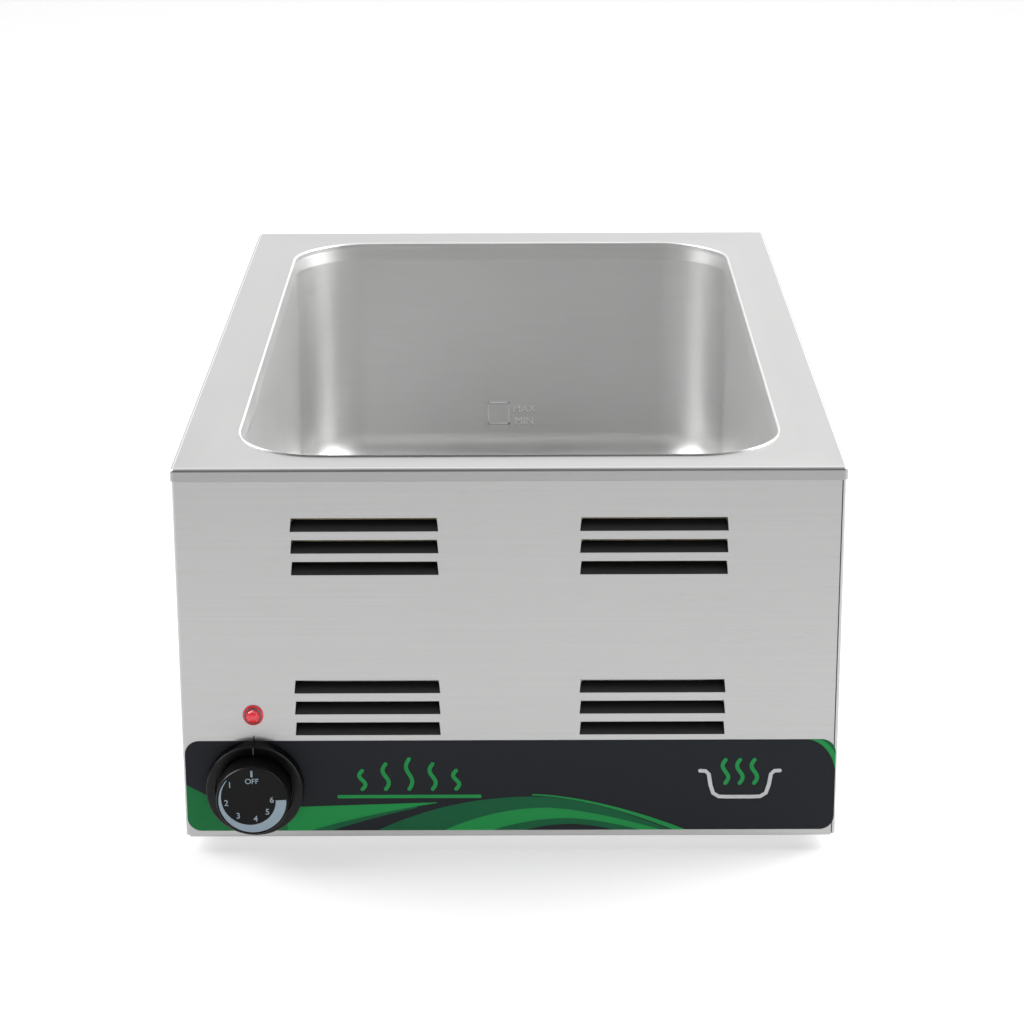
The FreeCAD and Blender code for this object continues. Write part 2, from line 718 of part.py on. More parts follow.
def make_element():
    """Tubular element in four columns joined by round returns, flat under the well floor."""
    body = new_body("heating_element")
    level = f"{WELL_UNDER} - element_radius - 0.1"
    path = sketch_on(body, "element_path", offset=level)
    step = value_of("element_column")
    reach = value_of("element_reach")
    start = value_of("element_start")
    shift = value_of("well_shift")
    up = FreeCAD.Vector(0, 0, 1)
    columns = [-3 * step, -step, step, 3 * step]
    ends = [(-start, reach), (reach, -reach), (-reach, reach), (reach, -start)]
    for x, (y0, y1) in zip(columns, ends):
        begin = FreeCAD.Vector(x, y0 + shift, 0)
        finish = FreeCAD.Vector(x, y1 + shift, 0)
        path.addGeometry(Part.LineSegment(begin, finish))
    for left, far in ((0, 1), (1, -1), (2, 1)):
        ring = Part.Circle(FreeCAD.Vector(columns[left] + step, far * reach + shift, 0), up, step)
        turn = (0, math.pi) if far > 0 else (math.pi, 2 * math.pi)
        path.addGeometry(Part.ArcOfCircle(ring, *turn))
    joins = [(0, 2, 4, 2), (4, 1, 1, 1), (1, 2, 5, 1), (5, 2, 2, 1), (2, 2, 6, 2), (6, 1, 3, 1)]
    for first, first_end, second, second_end in joins:
        path.addConstraint(Sketcher.Constraint("Tangent", first, first_end, second, second_end))
    path.addConstraint(Sketcher.Constraint("Vertical", 0))
    section = sketch_on(body, "element_section", "XZ_Plane", "element_start - well_shift")
    circle(section, "-3 * element_column", level, "element_radius")
    doc.recompute()
    pipe = body.newObject("PartDesign::AdditivePipe", "element_pipe")
    pipe.Profile = (section, [""])
    pipe.Spine = (path, [""])
    doc.recompute()
    beads = []
    pins = []
    for side in (-1, 1):
        x = f"{side} * 3 * element_column"
        y = "-element_start + well_shift"
        bead = rod(f"bead_{side + 1}", "element_radius", "6", (x, y, level), rotation=TO_FRONT)
        beads.append(bead)
        pins.append(rod(f"pin_{side + 1}", "1.8", "9", (x, f"{y} - 6", level), rotation=TO_FRONT))
    collected("element_beads", *beads)
    collected("element_pins", *pins)


def make_tray():
    """Heat spreader tray clamped under the element by studs on the well floor."""
    body = new_body("heat_tray")
    level = f"{WELL_UNDER} - 2 * element_radius - 0.3"
    plate = sketch_on(body, "tray_plate", offset=level)
    low = "well_shift - tray_reach + 20"
    high = "well_shift + tray_reach"
    rounded_rectangle(plate, "-tray_half", "tray_half", low, high, "10")
    for x, y in TRAY_STUDS:
        circle(plate, x, y, "2.8")
    circle(plate, "0", "-30", "11")
    pad(body, plate, "gauge", reverse=True)
    stud = rod("tray_stud", "2.5", "22", ("0", "0", "-22"))
    group("well_floor_studs", stud, TRAY_STUDS, WELL_UNDER)
    group("tray_nuts", make_nut("tray_nut", "8", "4", "2.55"), TRAY_STUDS, f"{level} - gauge - 4")


def make_insulation():
    mat = new_body("insulation_mat")
    base = sketch_on(mat, "mat_outline", offset=BODY_LOW)
    rounded_rectangle(base, "-tray_half", "tray_half", "-190", "218", "12")
    for x, y in TRAY_STUDS:
        circle(base, x, y, "7")
    circle(base, "0", "-30", "15")
    pad(mat, base, "34")
    blanket = new_body("insulation_blanket")
    ring = sketch_on(blanket, "blanket_outline", offset="deck_top - well_depth + 42")
    well_outline(ring, "gauge + 0.3 + blanket")
    well_outline(ring, "gauge + 0.3")
    pad(blanket, ring, "96")


def make_sensors():
    x = "-116"
    level = f"{WELL_UNDER} - 3.1"
    node(rod("sensing_bulb", "3", "110", (x, "-40", level), rotation=TO_FRONT))
    clips = []
    for index, y in enumerate((-130, -70)):
        strap = block(f"clip_strap_{index}", ("9", "8", "6.9"), (f"{x} - 4.5", str(y), f"{WELL_UNDER} - 6.9"))
        gap = block(f"clip_gap_{index}", ("7.4", "8", "6.2"), (f"{x} - 3.7", str(y), f"{WELL_UNDER} - 6.2"))
        clips.append(cut(f"bulb_clip_{index}", strap, gap))
    collected("bulb_clips", *clips)
    cutout = revolved("high_limit_cutout", [
        ("0", "0"), ("8", "0"), ("8", "-4"), ("9.5", "-4"), ("9.5", "-6"), ("7.5", "-6"), ("7.5", "-12"),
        ("0", "-12")])
    node(place(cutout, "0", "-30", f"{WELL_UNDER} - 0.1"))
    tabs = [block(f"cutout_tab_{i}", ("10", "4", "0.8"), ("-14", str(y), f"{WELL_UNDER} - 12.9"))
            for i, y in enumerate((-36, -28))]
    collected("cutout_tabs", *tabs)
    wire_tube("capillary_tube", [
        (-125, -249.9, 48), (-125, -236, 48), (-121, -205, 51), (-116, -178, 54.5), (-116, -150, 54.5)], 0.8)


# ---------------------------------------------------------------- supply


def make_gland():
    """Cord gland in the rear sheet; its seal's bore takes the supply cord."""
    flange = hexagon("gland_hex", "21", "5", ("0", "0", "0"))
    dome = rod("gland_dome", "9.6", "gland_proud", ("0", "0", "0"))
    thread = rod("gland_thread", "8", "12", ("0", "0", "-12"))
    bore = rod("gland_bore", "6.5", "gland_proud + 14", ("0", "0", "-13"))
    gland = cut("cord_gland", fused("gland_solid", flange, dome, thread), bore)
    node(place(gland, "gland_x", BODY_Y, "gland_z", rotation=TO_REAR))
    seal = cut("gland_seal", rod("seal_outer", "6.5", "14", ("0", "0", "0")),
               rod("seal_bore", "cord_bore", "14", ("0", "0", "0")))
    node(place(seal, "gland_x", f"{BODY_Y} + 6", "gland_z", rotation=TO_REAR))
    locknut = make_nut("gland_locknut", "20", "4", "8.05")
    node(place(locknut, "gland_x", f"{BODY_Y} - gauge - 4", "gland_z", rotation=TO_REAR))


def make_terminal_block():
    body = new_body("terminal_block")
    case = sketch_on(body, "block_case", offset=BODY_LOW)
    rectangle(case, "-160", "-120", "205", "227")
    pad(body, case, "16")
    wells = sketch_on(body, "block_screw_wells", offset=f"{BODY_LOW} + 16")
    for column in range(3):
        for row in (211, 221):
            circle(wells, -152 + 12 * column, row, "2.6")
    pocket(body, wells, "8")
    spots = [(-152 + 12 * column, row) for column in range(3) for row in (211, 221)]
    screw = rod("clamp_screw", "2.3", "4", ("0", "0", "0"))
    group("terminal_screws", screw, spots, f"{BODY_LOW} + 8")
    earth = fused("earth_stud", rod("earth_thread", "2.5", "14", ("-118", "160", BODY_LOW)),
                  rod("earth_foot", "4", "1", ("-118", "160", BODY_LOW)))
    node(earth)
    nut = make_nut("earth_nut", "8", "4", "2.55")
    node(place(nut, "-118", "160", f"{BODY_LOW} + 1"))


def make_wires():
    """Internal leads, each on its own route between its two terminals."""
    wire_tube("wire_live", [
        (-152, 204.6, 13), (-152, 170, 13), (-156, 120, 14), (-154, 60, 13), (-156, 0, 14),
        (-154, -60, 13), (-155, -120, 14), (-154, -172, 18), (-152.6, -205, 28), (-152.6, -224, 30.3),
        (-152.6, -241.3, 30.3)], 1.5)
    wire_tube("wire_neutral", [
        (-140, 204.6, 13), (-140, 170, 13), (-136, 120, 13.5), (-138, 60, 13), (-136, 0, 13.5),
        (-138, -60, 13), (-136, -120, 13.5), (-128, -170, 13), (-104, -205, 13.5), (-60, -222, 13),
        (0, -228, 13.5), (50, -228, 14), (80, -240, 20), (89, -256, 28), (90, -264, 40), (90, -258, 51),
        (90, -246, 53.5), (90, -233.9, 53.5)], 1.5)
    wire_tube("wire_switched", [
        (-141, -241.3, 30.3), (-141, -226, 30.3), (-136, -206, 34), (-125, -188, 41), (-113, -168, 45.2),
        (-100, -130, 45.1), (-84, -85, 45.2), (-60, -45, 45.1), (-36, -26, 45.1), (-14.2, -26, 45.1)], 1.5)
    wire_tube("wire_limited", [
        (-14.2, -34, 45.1), (-28, -36, 45.2), (-44, -60, 45.1), (-62, -100, 45.2), (-74, -140, 45.1),
        (-72, -176, 45.2), (-73, -198, 44.8), (-77, -219, 38), (-82, -240, 32), (-87, -257, 36),
        (-90, -262, 46), (-90, -255, 53), (-90, -246, 53.5), (-90, -233.9, 53.5)], 1.5)
    wire_tube("wire_earth", [
        (-128, 204.6, 13), (-127, 194, 12.6), (-122, 181, 11.6), (-119, 165.2, 11)], 1.2)
    wire_tube("wire_lamp_live", [
        (-138.7, -270.7, 69.8), (-138.7, -270, 63), (-137.5, -262, 58.6), (-135, -250, 57.2),
        (-132, -237, 52), (-130, -227, 43), (-129.5, -225, 35), (-129.5, -230, 30.6),
        (-129.5, -241.3, 30.3)], 0.9)
    wire_tube("wire_lamp_neutral", [
        (-143.7, -270.7, 69.8), (-144, -270, 63), (-145, -262, 58.6), (-148, -250, 57),
        (-158, -236, 50), (-163, -215, 36), (-164, -178, 24), (-163, -120, 20), (-164, -60, 20.5),
        (-163, 0, 20), (-164, 60, 20.5), (-162, 120, 19), (-152, 168, 18), (-144.5, 190, 15.8),
        (-143.4, 204.6, 16)], 0.9)


make_deck()
make_well()
make_front_sheet()
make_rear_sheet()
make_base()
make_feet()
make_base_screws()
make_deck_studs()
make_decal()
make_bezel()
make_knob()
make_thermostat()
make_pilot_lamp()
make_element()
make_tray()
make_insulation()
make_sensors()
make_gland()
make_terminal_block()
make_wires()
doc.recompute()

for thing in doc.Objects:
    if "Invalid" in thing.State or "Error" in thing.State:
        raise RuntimeError(f"{thing.Name} failed: {thing.State}")
for part in nodes:
    if part.Shape.isNull() or not part.Shape.isValid() or not part.Shape.Solids:
        raise RuntimeError(f"{part.Label} has a bad shape")

os.makedirs("parts", exist_ok=True)
for part in nodes:
    part.Shape.exportStep(f"parts/{part.Label}.step")
print(len(nodes), "sub-parts written")
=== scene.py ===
import math

import bmesh
import bpy
from mathutils import Matrix, Vector


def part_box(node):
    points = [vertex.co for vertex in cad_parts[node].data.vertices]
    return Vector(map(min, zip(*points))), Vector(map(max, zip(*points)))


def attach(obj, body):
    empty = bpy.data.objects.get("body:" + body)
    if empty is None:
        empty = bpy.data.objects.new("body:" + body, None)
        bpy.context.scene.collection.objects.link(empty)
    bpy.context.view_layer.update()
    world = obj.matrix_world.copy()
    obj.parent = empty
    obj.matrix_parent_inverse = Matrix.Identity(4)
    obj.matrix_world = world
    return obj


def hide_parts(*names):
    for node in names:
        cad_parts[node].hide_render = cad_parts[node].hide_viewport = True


# Looks of a countertop food warmer with one full-size well. Metres, +Z up, panel facing -Y.
# Helper arguments that end in _mm, and every profile and outline, are in millimetres.

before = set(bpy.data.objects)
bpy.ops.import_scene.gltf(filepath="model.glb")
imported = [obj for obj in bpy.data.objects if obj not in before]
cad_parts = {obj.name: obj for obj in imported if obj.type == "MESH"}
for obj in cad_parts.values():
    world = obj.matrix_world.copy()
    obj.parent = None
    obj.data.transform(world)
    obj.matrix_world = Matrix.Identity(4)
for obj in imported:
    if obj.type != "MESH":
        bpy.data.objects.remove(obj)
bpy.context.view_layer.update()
SCENE = bpy.context.scene
MM = 0.001

GAUGE = 0.8
LIP_CORNER = 2.8
LIP_BEND = 2.0
WELL_CORNER = 48.0
FLOOR_BEND = 25.0
RIM_BEND = 1.2
SHEET_BEND = 2.0
FOLD_BEND = 1.3
SEAM_SETBACK = 2.4
LAP = 20.0
FLANGE = 13.0
DECAL_CORNER = 8.0


def box_mm(node):
    """Lowest and highest corner of a CAD node in millimetres."""
    low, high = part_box(node)
    return low / MM, high / MM


DECK_LOW, DECK_HIGH = box_mm("top_deck")
WELL_LOW, WELL_HIGH = box_mm("water_well")
PANEL_LOW, PANEL_HIGH = box_mm("front_left_sheet")
DECAL_LOW, DECAL_HIGH = box_mm("front_decal")
KNOB_LOW, KNOB_HIGH = box_mm("thermostat_knob")
BEZEL_LOW, BEZEL_HIGH = box_mm("knob_bezel")
DECK_TOP = DECK_HIGH.z
PANEL_Y = PANEL_LOW.y
BEZEL_OPENING = 21.5
BEZEL_FLOOR = 4.2
FACE_SINK = 0.3
KNOB_CENTRE = Vector(((KNOB_LOW.x + KNOB_HIGH.x) / 2, PANEL_Y, (KNOB_LOW.z + KNOB_HIGH.z) / 2))


# ---------------------------------------------------------------- camera, light, floor


def make_camera():
    """Long lens in front of the unit and above it, looking down at about 18 degrees."""
    data = bpy.data.cameras.new("camera")
    data.sensor_width = 36
    data.lens = 100.46
    camera = bpy.data.objects.new("camera", data)
    SCENE.collection.objects.link(camera)
    camera.location = (0.00624, DECK_LOW.y * MM - 1.45413, DECK_TOP * MM + 0.45899)
    turn = Matrix.Rotation(math.radians(0.184), 4, "Z")
    tilt = Matrix.Rotation(math.radians(90 - 18.384), 4, "X")
    roll = Matrix.Rotation(math.radians(-0.248), 4, "Z")
    camera.rotation_euler = (turn @ tilt @ roll).to_euler()
    SCENE.camera = camera


def area_light(name, place, target, size, power, in_reflections):
    """Softbox; the ones kept out of reflections only light the floor and the plastics."""
    data = bpy.data.lights.new(name, "AREA")
    data.shape = "RECTANGLE"
    data.size, data.size_y = size
    data.energy = power
    light = bpy.data.objects.new(name, data)
    light.location = place
    light.rotation_euler = (Vector(target) - Vector(place)).to_track_quat("-Z", "Y").to_euler()
    light.visible_camera = False
    light.visible_glossy = in_reflections
    SCENE.collection.objects.link(light)


def maths(tree, operation, first, second, third=None):
    """Math node; inputs are sockets or numbers."""
    node = tree.nodes.new("ShaderNodeMath")
    node.operation = operation
    for index, value in enumerate((first, second, third)):
        if isinstance(value, (int, float)):
            node.inputs[index].default_value = value
        elif value is not None:
            tree.links.new(value, node.inputs[index])
    return node.outputs[0]


def make_world():
    """White backdrop behind and beside the unit, softer overhead, dark above the camera's side."""
    world = bpy.data.worlds.new("studio")
    SCENE.world = world
    world.use_nodes = True
    tree = world.node_tree
    coords = tree.nodes.new("ShaderNodeTexCoord")
    split = tree.nodes.new("ShaderNodeSeparateXYZ")
    tree.links.new(coords.outputs["Generated"], split.inputs[0])
    across, along, up = split.outputs
    sideways = maths(tree, "ABSOLUTE", across, 0.0)
    place = maths(tree, "MULTIPLY_ADD", sideways, 0.62, along)
    place = maths(tree, "MULTIPLY_ADD", up, 0.35, place)
    ramp = tree.nodes.new("ShaderNodeMapRange")
    ramp.interpolation_type = "SMOOTHSTEP"
    ramp.inputs["From Min"].default_value = -0.35
    ramp.inputs["From Max"].default_value = 0.8
    ramp.inputs["To Min"].default_value = 0.22
    ramp.inputs["To Max"].default_value = 1.4
    tree.links.new(place, ramp.inputs["Value"])
    balance = maths(tree, "MULTIPLY_ADD", across, 0.5, 1.0)
    background = tree.nodes["Background"]
    background.inputs["Color"].default_value = (1, 1, 1, 1)
    world.cycles_visibility.diffuse = False
    tree.links.new(maths(tree, "MULTIPLY", ramp.outputs["Result"], balance), background.inputs["Strength"])


def make_studio():
    make_world()
    area_light("floor_front", (0, -1.55, 0.6), (0, -0.35, 0), (2.6, 0.5), 2.5, False)
    area_light("floor_back", (0, 2.4, 2.4), (0, 2.4, 0), (5.0, 4.0), 90, False)
    area_light("floor_left", (-1.5, 0.1, 1.1), (-0.6, 0.1, 0), (1.0, 2.0), 4, False)
    area_light("floor_right", (1.5, 0.1, 1.1), (0.6, 0.1, 0), (1.0, 2.0), 4, False)
    area_light("softbox_left", (-1.3, 0.15, 1.0), (0, 0, 0.1), (1.0, 1.0), 32, True)
    area_light("softbox_right", (1.3, 0.15, 1.0), (0, 0, 0.1), (1.0, 1.0), 41, True)
    bpy.ops.mesh.primitive_plane_add(size=30)
    floor = bpy.context.object
    floor.name = "floor"
    floor.data.materials.append(lit_paper())
    SCENE.view_settings.view_transform = "Standard"


# ---------------------------------------------------------------- materials


def new_material(name):
    material = bpy.data.materials.new(name)
    material.use_nodes = True
    return material, material.node_tree, material.node_tree.nodes["Principled BSDF"]


def noise(tree, scale, stretch=(1, 1, 1), detail=4.0, roughness=0.55):
    """Noise over the object's own coordinates, in metres, squeezed by stretch."""
    coords = tree.nodes.new("ShaderNodeTexCoord")
    mapping = tree.nodes.new("ShaderNodeMapping")
    mapping.inputs["Scale"].default_value = stretch
    texture = tree.nodes.new("ShaderNodeTexNoise")
    texture.inputs["Scale"].default_value = scale
    texture.inputs["Detail"].default_value = detail
    texture.inputs["Roughness"].default_value = roughness
    tree.links.new(coords.outputs["Object"], mapping.inputs["Vector"])
    tree.links.new(mapping.outputs["Vector"], texture.inputs["Vector"])
    return texture.outputs["Fac"]


def remap(tree, value, low, high, from_low=0.3, from_high=0.7):
    node = tree.nodes.new("ShaderNodeMapRange")
    node.inputs["From Min"].default_value = from_low
    node.inputs["From Max"].default_value = from_high
    node.inputs["To Min"].default_value = low
    node.inputs["To Max"].default_value = high
    tree.links.new(value, node.inputs["Value"])
    return node.outputs["Result"]


def tint(tree, value, dark, light):
    mix = tree.nodes.new("ShaderNodeMix")
    mix.data_type = "RGBA"
    mix.inputs[6].default_value = (*dark, 1)
    mix.inputs[7].default_value = (*light, 1)
    tree.links.new(value, mix.inputs[0])
    return mix.outputs[2]


def bump(tree, height, depth_mm, before=None):
    node = tree.nodes.new("ShaderNodeBump")
    node.inputs["Strength"].default_value = 1.0
    node.inputs["Distance"].default_value = depth_mm * MM
    tree.links.new(height, node.inputs["Height"])
    if before is not None:
        tree.links.new(before, node.inputs["Normal"])
    return node.outputs["Normal"]


def brushed(name, colour, rough, grain=(5, 700, 700), grain_mm=0.0008, wave_mm=0.15, contrast=0.10):
    """Brushed sheet metal: fine grain, soft smudges and a slight waviness of the sheet."""
    material, tree, shader = new_material(name)
    shader.inputs["Metallic"].default_value = 1.0
    fine = noise(tree, 1.0, grain, 3.0, 0.6)
    smudge = noise(tree, 9.0, (1, 1, 1), 4.0, 0.6)
    wave = noise(tree, 3.0, (1, 1, 1), 1.0, 0.4)
    both = tree.nodes.new("ShaderNodeMath")
    both.operation = "MULTIPLY_ADD"
    both.inputs[1].default_value = 0.75
    tree.links.new(fine, both.inputs[0])
    tree.links.new(remap(tree, smudge, 0.0, 0.25), both.inputs[2])
    darker = tuple(part * (1 - contrast) for part in colour)
    lighter = tuple(min(1.0, part * (1 + contrast)) for part in colour)
    tree.links.new(tint(tree, both.outputs[0], darker, lighter), shader.inputs["Base Color"])
    tree.links.new(remap(tree, both.outputs[0], rough - 0.03, rough + 0.04), shader.inputs["Roughness"])
    normal = bump(tree, wave, wave_mm)
    tree.links.new(bump(tree, fine, grain_mm, normal), shader.inputs["Normal"])
    return material


def plastic(name, colour, rough, grain=600, depth_mm=0.01, coat=0.0, mottle=0.08, specular=0.5):
    """Moulded or painted surface with fine texture and slightly uneven gloss and colour."""
    material, tree, shader = new_material(name)
    shader.inputs["Specular IOR Level"].default_value = specular
    shader.inputs["Coat Weight"].default_value = coat
    shader.inputs["Coat Roughness"].default_value = 0.12
    fine = noise(tree, grain, (1, 1, 1), 3.0)
    patch = noise(tree, 35.0, (1, 1, 1), 4.0)
    darker = tuple(part * (1 - mottle) for part in colour)
    lighter = tuple(min(1.0, part * (1 + mottle)) for part in colour)
    tree.links.new(tint(tree, patch, darker, lighter), shader.inputs["Base Color"])
    tree.links.new(remap(tree, patch, rough - 0.04, rough + 0.05), shader.inputs["Roughness"])
    tree.links.new(bump(tree, fine, depth_mm), shader.inputs["Normal"])
    return material


def lit_paper():
    """White paper on a light table, so shadows on it stay faint."""
    material = plastic("floor_paper", (0.36, 0.36, 0.36), 0.9, 400, 0.0, mottle=0.006)
    shader = material.node_tree.nodes["Principled BSDF"]
    shader.inputs["Emission Color"].default_value = (1, 1, 1, 1)
    shader.inputs["Emission Strength"].default_value = 0.6
    return material


def lens_red():
    """Translucent red polycarbonate."""
    material, tree, shader = new_material("lamp_red")
    shader.inputs["Transmission Weight"].default_value = 0.35
    shader.inputs["IOR"].default_value = 1.5
    shader.inputs["Coat Weight"].default_value = 0.6
    shader.inputs["Emission Color"].default_value = (1.0, 0.03, 0.06, 1)
    shader.inputs["Emission Strength"].default_value = 0.25
    fine = noise(tree, 500.0)
    tree.links.new(tint(tree, fine, (0.80, 0.02, 0.04), (0.95, 0.06, 0.08)), shader.inputs["Base Color"])
    tree.links.new(remap(tree, fine, 0.10, 0.2), shader.inputs["Roughness"])
    tree.links.new(bump(tree, fine, 0.01), shader.inputs["Normal"])
    return material


def fibre(name, colour):
    """Loose mineral fibre."""
    material, tree, shader = new_material(name)
    strands = noise(tree, 1.0, (90, 400, 900), 8.0, 0.7)
    clumps = noise(tree, 60.0, (1, 1, 1), 6.0, 0.6)
    darker = tuple(0.6 * part for part in colour)
    tree.links.new(tint(tree, clumps, darker, colour), shader.inputs["Base Color"])
    tree.links.new(remap(tree, clumps, 0.85, 1.0), shader.inputs["Roughness"])
    normal = bump(tree, clumps, 2.0)
    tree.links.new(bump(tree, strands, 0.6, normal), shader.inputs["Normal"])
    return material


PANEL_STEEL = brushed("panel_steel", (0.48, 0.48, 0.478), 0.30, (9, 9, 1100))
# Lighter steel for the level mark's faces (painted highlight) and darker steel for its shifted copy (painted
# shadow).
MARK_HIGHLIGHT_STEEL = brushed("mark_highlight_steel", (0.86, 0.86, 0.857), 0.36, (30, 30, 500), 0.0004)
MARK_SHADOW_STEEL = brushed("mark_shadow_steel", (0.30, 0.30, 0.298), 0.5, (30, 30, 500), 0.0004)
# Darker copy of the deck steel for the deck's own folded lip and underside: painted shade.
LIP_SHADE_STEEL = brushed("lip_shade_steel", (0.41, 0.41, 0.408), 0.34, (9, 9, 900))
# Near-black copy of the panel steel: painted shade on the louvre flaps and on the seam strips.
LOUVRE_SHADE_STEEL = brushed("louvre_shade_steel", (0.06, 0.06, 0.06), 0.45, (9, 9, 1100))
DECK_STEEL = brushed("deck_steel", (0.80, 0.80, 0.797), 0.28, (7, 900, 900), wave_mm=0.1)
WELL_STEEL = brushed("well_steel", (0.62, 0.62, 0.617), 0.41, (30, 30, 500), 0.0004, 0.2, 0.06)
# Slightly lighter copy of the well steel for the deck's collar and rolled rim: painted light.
COLLAR_LIT_STEEL = brushed("collar_lit_steel", (0.65, 0.65, 0.647), 0.41, (30, 30, 500), 0.0004, 0.2, 0.06)
BASE_STEEL = brushed("base_steel", (0.52, 0.53, 0.53), 0.45, (60, 60, 60))
ZINC = brushed("zinc_steel", (0.60, 0.61, 0.60), 0.32, (300, 300, 300))
SPINDLE = brushed("spindle_steel", (0.5, 0.5, 0.5), 0.3, (400, 400, 60))
# Chrome coloured near black: painted dark reflection.
CHROME_PAINTED_DARK = brushed("chrome_ring", (0.14, 0.12, 0.12), 0.2, (200, 200, 200))
ELEMENT = brushed("element_sheath", (0.24, 0.21, 0.19), 0.5, (200, 60, 200), 0.01)
TRAY = brushed("tray_aluminium", (0.7, 0.7, 0.71), 0.42, (20, 500, 500))
COPPER = brushed("copper", (0.72, 0.40, 0.27), 0.35, (300, 60, 300))
RUBBER = plastic("rubber", (0.022, 0.022, 0.022), 0.75, 900, 0.03)
BEZEL_BLACK = plastic("bezel_black", (0.002, 0.002, 0.0025), 0.26, 700, 0.004, specular=0.25)
KNOB_BLACK = plastic("knob_black", (0.003, 0.003, 0.0035), 0.36, 900, 0.006, specular=0.16)
PRINT_BLUE = plastic("print_blue", (0.36, 0.47, 0.56), 0.5, 900, 0.004)
CHARCOAL = plastic("decal_charcoal", (0.022, 0.025, 0.030), 0.5, 1500, 0.002, specular=0.12)
GREEN_BRIGHT = plastic("decal_green_bright", (0.024, 0.370, 0.092), 0.5, 1500, 0.002, specular=0.12)
GREEN_DEEP = plastic("decal_green_deep", (0.014, 0.150, 0.062), 0.5, 1500, 0.002, specular=0.12)
GREEN_MID = plastic("decal_green_mid", (0.018, 0.215, 0.065), 0.5, 1500, 0.002, specular=0.12)
PRINT_GREY = plastic("print_grey", (0.10, 0.11, 0.12), 0.5, 900, 0.003)
PRINT_WHITE = plastic("decal_white", (0.72, 0.74, 0.76), 0.4, 1500, 0.003)
LENS_RED = lens_red()
HOLDER = plastic("lamp_holder", (0.02, 0.02, 0.02), 0.5)
CASE = plastic("thermostat_case", (0.05, 0.05, 0.05), 0.55)
CERAMIC = plastic("ceramic", (0.80, 0.78, 0.72), 0.35, 300, 0.02)
CUTOUT = plastic("cutout_case", (0.28, 0.10, 0.05), 0.5)
NYLON = plastic("gland_nylon", (0.025, 0.025, 0.026), 0.5, 500, 0.02)
WOOL = fibre("mineral_wool", (0.62, 0.53, 0.32))
WIRE_BROWN = plastic("wire_brown", (0.17, 0.07, 0.03), 0.5)
WIRE_BLUE = plastic("wire_blue", (0.03, 0.09, 0.40), 0.5)
WIRE_EARTH = plastic("wire_earth", (0.12, 0.45, 0.07), 0.5)


# ---------------------------------------------------------------- mesh helpers


def even_normals(piece):
    """Keep flat faces flat where small bends run into them."""
    weighted = piece.modifiers.new("normals", "WEIGHTED_NORMAL")
    weighted.keep_sharp = True


def finish_mesh(name, mesh_data, material, body="housing", replaces=(), sharp=35, even=True):
    """Turn a bmesh in millimetres into a smooth-shaded piece that rides on a body."""
    bmesh.ops.remove_doubles(mesh_data, verts=mesh_data.verts, dist=1e-5)
    bmesh.ops.recalc_face_normals(mesh_data, faces=mesh_data.faces)
    bmesh.ops.scale(mesh_data, vec=(MM, MM, MM), verts=mesh_data.verts)
    mesh = bpy.data.meshes.new(name)
    mesh_data.to_mesh(mesh)
    mesh_data.free()
    mesh.shade_smooth()
    mesh.set_sharp_from_angle(angle=math.radians(sharp))
    mesh.materials.append(material)
    piece = bpy.data.objects.new(name, mesh)
    SCENE.collection.objects.link(piece)
    if even:
        even_normals(piece)
    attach(piece, body)
    if replaces:
        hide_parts(*replaces)
    return piece


def plan_ring(half_x, low_y, high_y, radius, z, arc_steps=14, side_steps=6):
    """Rounded rectangle in plan, counter-clockwise, with the same point count for every size."""
    radius = max(radius, 0.01)
    centres = [
        (half_x - radius, low_y + radius),
        (half_x - radius, high_y - radius),
        (-half_x + radius, high_y - radius),
        (-half_x + radius, low_y + radius),
    ]
    arcs = []
    for corner, (x, y) in enumerate(centres):
        start = (corner - 1) * math.pi / 2
        angles = [start + step * math.pi / 2 / arc_steps for step in range(arc_steps + 1)]
        arcs.append([Vector((x + radius * math.cos(a), y + radius * math.sin(a), z)) for a in angles])
    points = []
    for corner in range(4):
        points += arcs[corner]
        after = arcs[(corner + 1) % 4][0]
        points += [arcs[corner][-1].lerp(after, step / side_steps) for step in range(1, side_steps)]
    return points


def skin(rings, closed=False, cap_first=False, cap_last=False):
    """Quads between successive rings of equal length."""
    mesh = bmesh.new()
    rows = [[mesh.verts.new(point) for point in ring] for ring in rings]
    count = len(rows[0])
    pairs = list(zip(rows, rows[1:]))
    if closed:
        pairs.append((rows[-1], rows[0]))
    for lower, upper in pairs:
        for index in range(count):
            after = (index + 1) % count
            mesh.faces.new((lower[index], lower[after], upper[after], upper[index]))
    if cap_first:
        mesh.faces.new(reversed(rows[0]))
    if cap_last:
        mesh.faces.new(rows[-1])
    return mesh


def rounded(profile, steps=5):
    """Replace the corners of a profile of (x, y, bend) points by arcs of the given bends."""
    points = []
    for index, (x, y, bend) in enumerate(profile):
        corner = Vector((x, y))
        if bend <= 0 or index in (0, len(profile) - 1):
            points.append(corner)
            continue
        back = (Vector(profile[index - 1][:2]) - corner).normalized()
        ahead = (Vector(profile[index + 1][:2]) - corner).normalized()
        half = back.angle(ahead) / 2
        trim = bend / math.tan(half)
        centre = corner + (back + ahead).normalized() * bend / math.sin(half)
        first = (corner + back * trim - centre).normalized()
        last = (corner + ahead * trim - centre).normalized()
        for step in range(steps + 1):
            points.append(centre + bend * first.slerp(last, step / steps))
    return points


